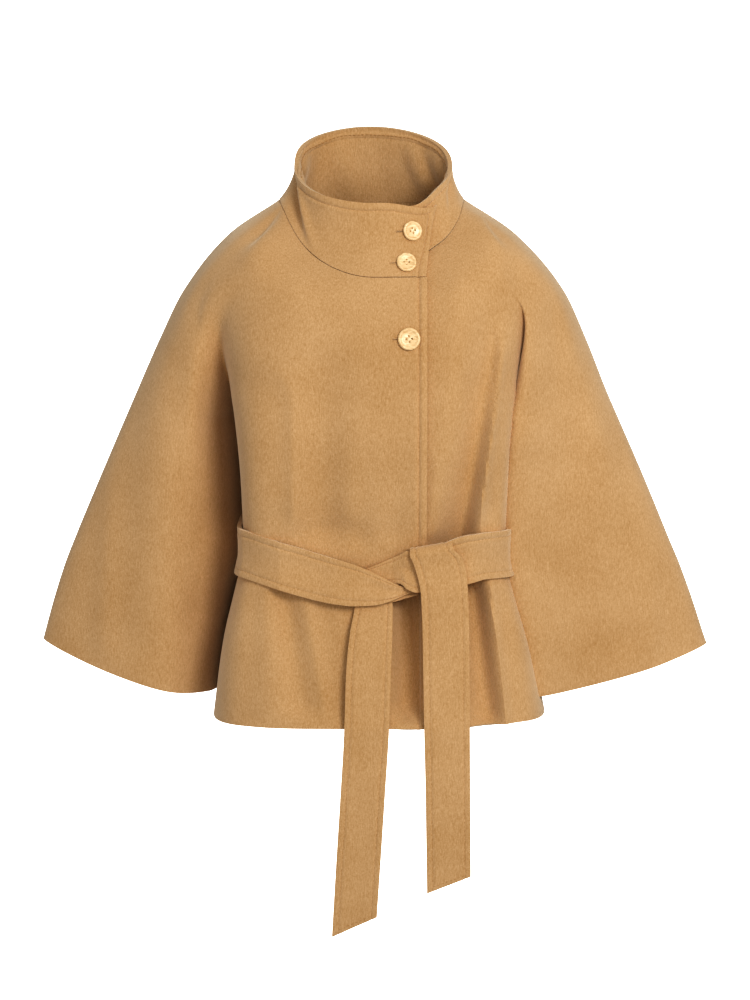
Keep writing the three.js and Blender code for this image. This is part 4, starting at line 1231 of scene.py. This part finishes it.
def new_material(name, values):
    """A material with its node tree and its shader, and plain values on the shader's sockets."""
    material = bpy.data.materials.new(name)
    material.use_nodes = True
    shader = material.node_tree.nodes["Principled BSDF"]
    set_inputs(shader, values)
    return material, material.node_tree, shader


def wool_group():
    tree = bpy.data.node_groups.new("brushed_wool", "ShaderNodeTree")
    for way, name, kind in (("INPUT", "Light fibre", "Color"), ("INPUT", "Dark fibre", "Color"),
                            ("INPUT", "Coordinates", "Vector"), ("OUTPUT", "Color", "Color"),
                            ("OUTPUT", "Height", "Float")):
        tree.interface.new_socket(name, in_out=way, socket_type="NodeSocket" + kind)
    ins, outs = tree.nodes.new("NodeGroupInput"), tree.nodes.new("NodeGroupOutput")
    clouds = node(tree, "TexNoise", Scale=14.0, Detail=3.0)
    fibres = node(tree, "TexNoise", Scale=620.0, Detail=4.0, Roughness=0.7)
    stretch = node(tree, "Mapping", Scale=(1.0, 1.0, 0.22))
    streaks = node(tree, "TexNoise", Scale=900.0, Detail=2.0, Roughness=0.6)
    weave = node(tree, "Math", operation="ADD")
    blend = node(tree, "Math", operation="MULTIPLY_ADD")
    blend.inputs[1].default_value = 0.25
    spread = node(tree, "MapRange", clamp=True)
    set_inputs(spread, {"From Min": 0.42, "From Max": 0.83})
    mix = node(tree, "Mix", data_type="RGBA")
    link(tree, *((ins.outputs["Coordinates"], each.inputs["Vector"])
                 for each in (clouds, fibres, stretch)),
         (stretch.outputs["Vector"], streaks.inputs["Vector"]),
         (fibres.outputs["Fac"], weave.inputs[0]),
         (streaks.outputs["Fac"], weave.inputs[1]),
         (clouds.outputs["Fac"], blend.inputs[0]))
    half = node(tree, "Math", operation="MULTIPLY")
    half.inputs[1].default_value = 0.5
    link(tree, (weave.outputs[0], half.inputs[0]), (half.outputs[0], blend.inputs[2]),
         (blend.outputs[0], spread.inputs["Value"]),
         (spread.outputs["Result"], mix.inputs["Factor"]),
         (ins.outputs["Dark fibre"], mix.inputs["A"]),
         (ins.outputs["Light fibre"], mix.inputs["B"]),
         (mix.outputs["Result"], outs.inputs["Color"]), (half.outputs[0], outs.inputs["Height"]))
    return tree


wool = wool_group()


def to_linear(*values):
    return tuple(((v / 255 + 0.055) / 1.055) ** 2.4 for v in values) + (1.0,)


def cloth_material(name, light, dark, bump=0.35, sheen=0.7):
    material, tree, shader = new_material(name, {
        "Roughness": 0.92, "Specular IOR Level": 0.35, "Sheen Weight": sheen,
        "Sheen Roughness": 0.55, "Sheen Tint": to_linear(255, 244, 224)})
    group = tree.nodes.new("ShaderNodeGroup")
    group.node_tree = wool
    set_inputs(group, {"Light fibre": light, "Dark fibre": dark})
    bump_node = node(tree, "Bump", Strength=bump, Distance=0.0012)
    place = node(tree, "TexCoord").outputs["Object"]
    link(tree, (place, group.inputs["Coordinates"]),
         (group.outputs["Color"], shader.inputs["Base Color"]),
         (group.outputs["Height"], bump_node.inputs["Height"]),
         (bump_node.outputs["Normal"], shader.inputs["Normal"]))
    return material


camel = cloth_material("camel_wool", to_linear(215, 182, 142), to_linear(181, 143, 95))
# The topstitching thread has the camel colour of the cloth, made a little darker. That darkening is
# painted shade of the pressed groove the stitches lie in.
thread_painted_groove_shade = cloth_material("camel_thread_painted_groove_shade", to_linear(200, 163, 118), to_linear(170, 130, 84),
                              bump=0.1, sheen=0.1)

# %% [markdown]
# ## Horn
# Horn is smooth but not glossy, and its colour runs in streaks that follow its growth. A noise
# texture that is pressed together along one axis gives such streaks, and a colour ramp turns
# them into two near shades. A thin coat gives the soft shine of a polished surface.

# %% Horn
def horn_material():
    material, tree, shader = new_material(
        "pale_horn", {"Roughness": 0.34, "Coat Weight": 0.25, "Coat Roughness": 0.3})
    streaks = node(tree, "TexNoise", Scale=120.0, Detail=4.0, Distortion=1.6)
    stretch = node(tree, "Mapping", Scale=(1.0, 1.0, 3.0))
    ramp = tree.nodes.new("ShaderNodeValToRGB")
    shades = (0.3, to_linear(218, 182, 132)), (0.7, to_linear(244, 220, 178))
    for stop, (position, shade) in zip(ramp.color_ramp.elements, shades):
        stop.position, stop.color = position, shade
    link(tree, (node(tree, "TexCoord").outputs["Object"], stretch.inputs["Vector"]),
         (stretch.outputs["Vector"], streaks.inputs["Vector"]),
         (streaks.outputs["Fac"], ramp.inputs["Fac"]),
         (ramp.outputs["Color"], shader.inputs["Base Color"]))
    return material


horn = horn_material()
thread_pale = cloth_material("button_thread", to_linear(214, 178, 130), to_linear(184, 142, 92),
                             bump=0.1, sheen=0.0)


def dress(pieces, material):
    for piece in pieces:
        piece.data.materials.clear()
        piece.data.materials.append(material)


cloths = [front_right, front_left, back, collar, belt, left_tail, right_tail]
stitchings = [front_stitching, collar_stitching, belt_stitching, left_tail_stitching,
              right_tail_stitching]
fastened = [*threads.values(), *buttonholes.values()]
dress([*cloths, neck_tape], camel)
dress(stitchings, thread_painted_groove_shade)
dress(buttons.values(), horn)
dress(buttonholes.values(), camel)
dress(threads.values(), thread_pale)
print("materials:", [material.name for material in bpy.data.materials])

# %% [markdown]
# ## What each piece stands for
# Every cloth takes the place of its rigid solid and states its size when it is laid flat: its
# longest row across and its longest column down, over all its folds and rounded up. Hems,
# facings and the hidden part of the belt aren't in these sizes, because they aren't modelled.

# %% Ride, replace and print the flat sizes
for piece in (*cloths, neck_tape, *stitchings, *buttons.values(), *fastened):
    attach(piece, "root")
for piece, part in zip(cloths, ("front_right", "front_left", "back", "collar", "belt",
                                "belt_tail_left", "belt_tail_right")):
    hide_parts(part)
for name, piece in buttons.items():
    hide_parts(name)

CUTS = {
    front_right: (0.67, 0.61), front_left: (0.67, 0.61), back: (0.96, 0.61), collar: (0.69, 0.09),
    belt: (1.01, 0.054), left_tail: (0.054, 0.42), right_tail: (0.054, 0.38),
}
for piece, (width, length) in CUTS.items():
    area = min(max(piece["area"], 0.3 * width * length), width * length)
    print(piece.name, "flat", width, length, "area", round(piece["area"], 4), "of",
          round(width * length, 4))

# %% [markdown]
# ## Light, floor and camera
# A big soft light from the upper right, a weak one in front, and an even sky that fills the
# folds. A pale sweep lies far below and behind. The coat floats as it does on an unseen form,
# so it throws no shadow that shows.

# %% Stage
# Place, the point that it is aimed at, width in metres, power in watts.
LIGHTS = {"key": ((1.2, -2.46, 0.94), (0.0, 0.0, -0.33), 1.0, 28),
          "fill": ((-0.1, -2.9, -0.1), (0.0, 0.0, -0.35), 1.2, 7)}
SKY_STRENGTH = 0.34
FLOOR_SIZE, FLOOR_Z, FLOOR_BEND, BACKDROP_HEIGHT = 12, -1.4, 1.2, 6


def area_light(name, place, target, size, power):
    deselect_all()
    bpy.ops.object.light_add(type="AREA", location=place)
    light = bpy.context.active_object
    light.name = name
    light.data.shape = "SQUARE"
    light.data.size = size
    light.data.energy = power
    light.rotation_euler = (Vector(target) - Vector(place)).to_track_quat("-Z", "Y").to_euler()


for name, settings in LIGHTS.items():
    area_light(name, *settings)

deselect_all()
bpy.ops.mesh.primitive_plane_add(size=FLOOR_SIZE, location=(0, 0, FLOOR_Z))
floor = bpy.context.active_object
floor.name = "floor"
floor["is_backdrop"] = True
bpy.ops.object.mode_set(mode="EDIT")
bpy.ops.mesh.select_all(action="DESELECT")
bpy.ops.mesh.select_mode(type="EDGE")
bpy.ops.object.mode_set(mode="OBJECT")
for edge in floor.data.edges:
    edge.select = all(floor.data.vertices[index].co.y > 0 for index in edge.vertices)
bpy.ops.object.mode_set(mode="EDIT")
for move in ((0, FLOOR_BEND, FLOOR_BEND), (0, 0, BACKDROP_HEIGHT)):
    bpy.ops.mesh.extrude_region_move(TRANSFORM_OT_translate={"value": move})
bpy.ops.object.mode_set(mode="OBJECT")
pale = new_material("pale_floor", {
    "Base Color": (0.94, 0.94, 0.94, 1), "Roughness": 0.9,
    "Emission Color": (1, 1, 1, 1), "Emission Strength": 1.0})[0]
floor.data.materials.append(pale)
# The floor glows white, but it isn't seen by the coat, or it would light it from below.
floor.visible_diffuse = floor.visible_glossy = False
print("lights:", list(LIGHTS), "and a sweep with", len(floor.data.polygons), "faces")

world = bpy.data.worlds.new("studio")
bpy.context.scene.world = world
world.use_nodes = True
set_inputs(world.node_tree.nodes["Background"], {"Color": (1, 1, 1, 1), "Strength": SKY_STRENGTH})
bpy.context.scene.view_settings.view_transform = "Standard"
bpy.context.scene.view_settings.look = "Very High Contrast"

# %% Camera
TARGET_HEIGHT, CAMERA_DISTANCE, CAMERA_UP, LENS = -0.330, 3.5, math.radians(8), 114.55
camera_place = (0, -CAMERA_DISTANCE * math.cos(CAMERA_UP),
                TARGET_HEIGHT + CAMERA_DISTANCE * math.sin(CAMERA_UP))
deselect_all()
bpy.ops.object.camera_add(location=camera_place, rotation=(math.pi / 2 - CAMERA_UP, 0, 0))
camera = bpy.context.active_object
camera.data.lens = LENS
camera.data.sensor_width = 36
camera.data.dof.use_dof = False
bpy.context.scene.camera = camera
print("camera at", [round(v, 2) for v in camera_place])

# %% Sizes
final_box = [list(corner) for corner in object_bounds()]
say_box("visual model", final_box)
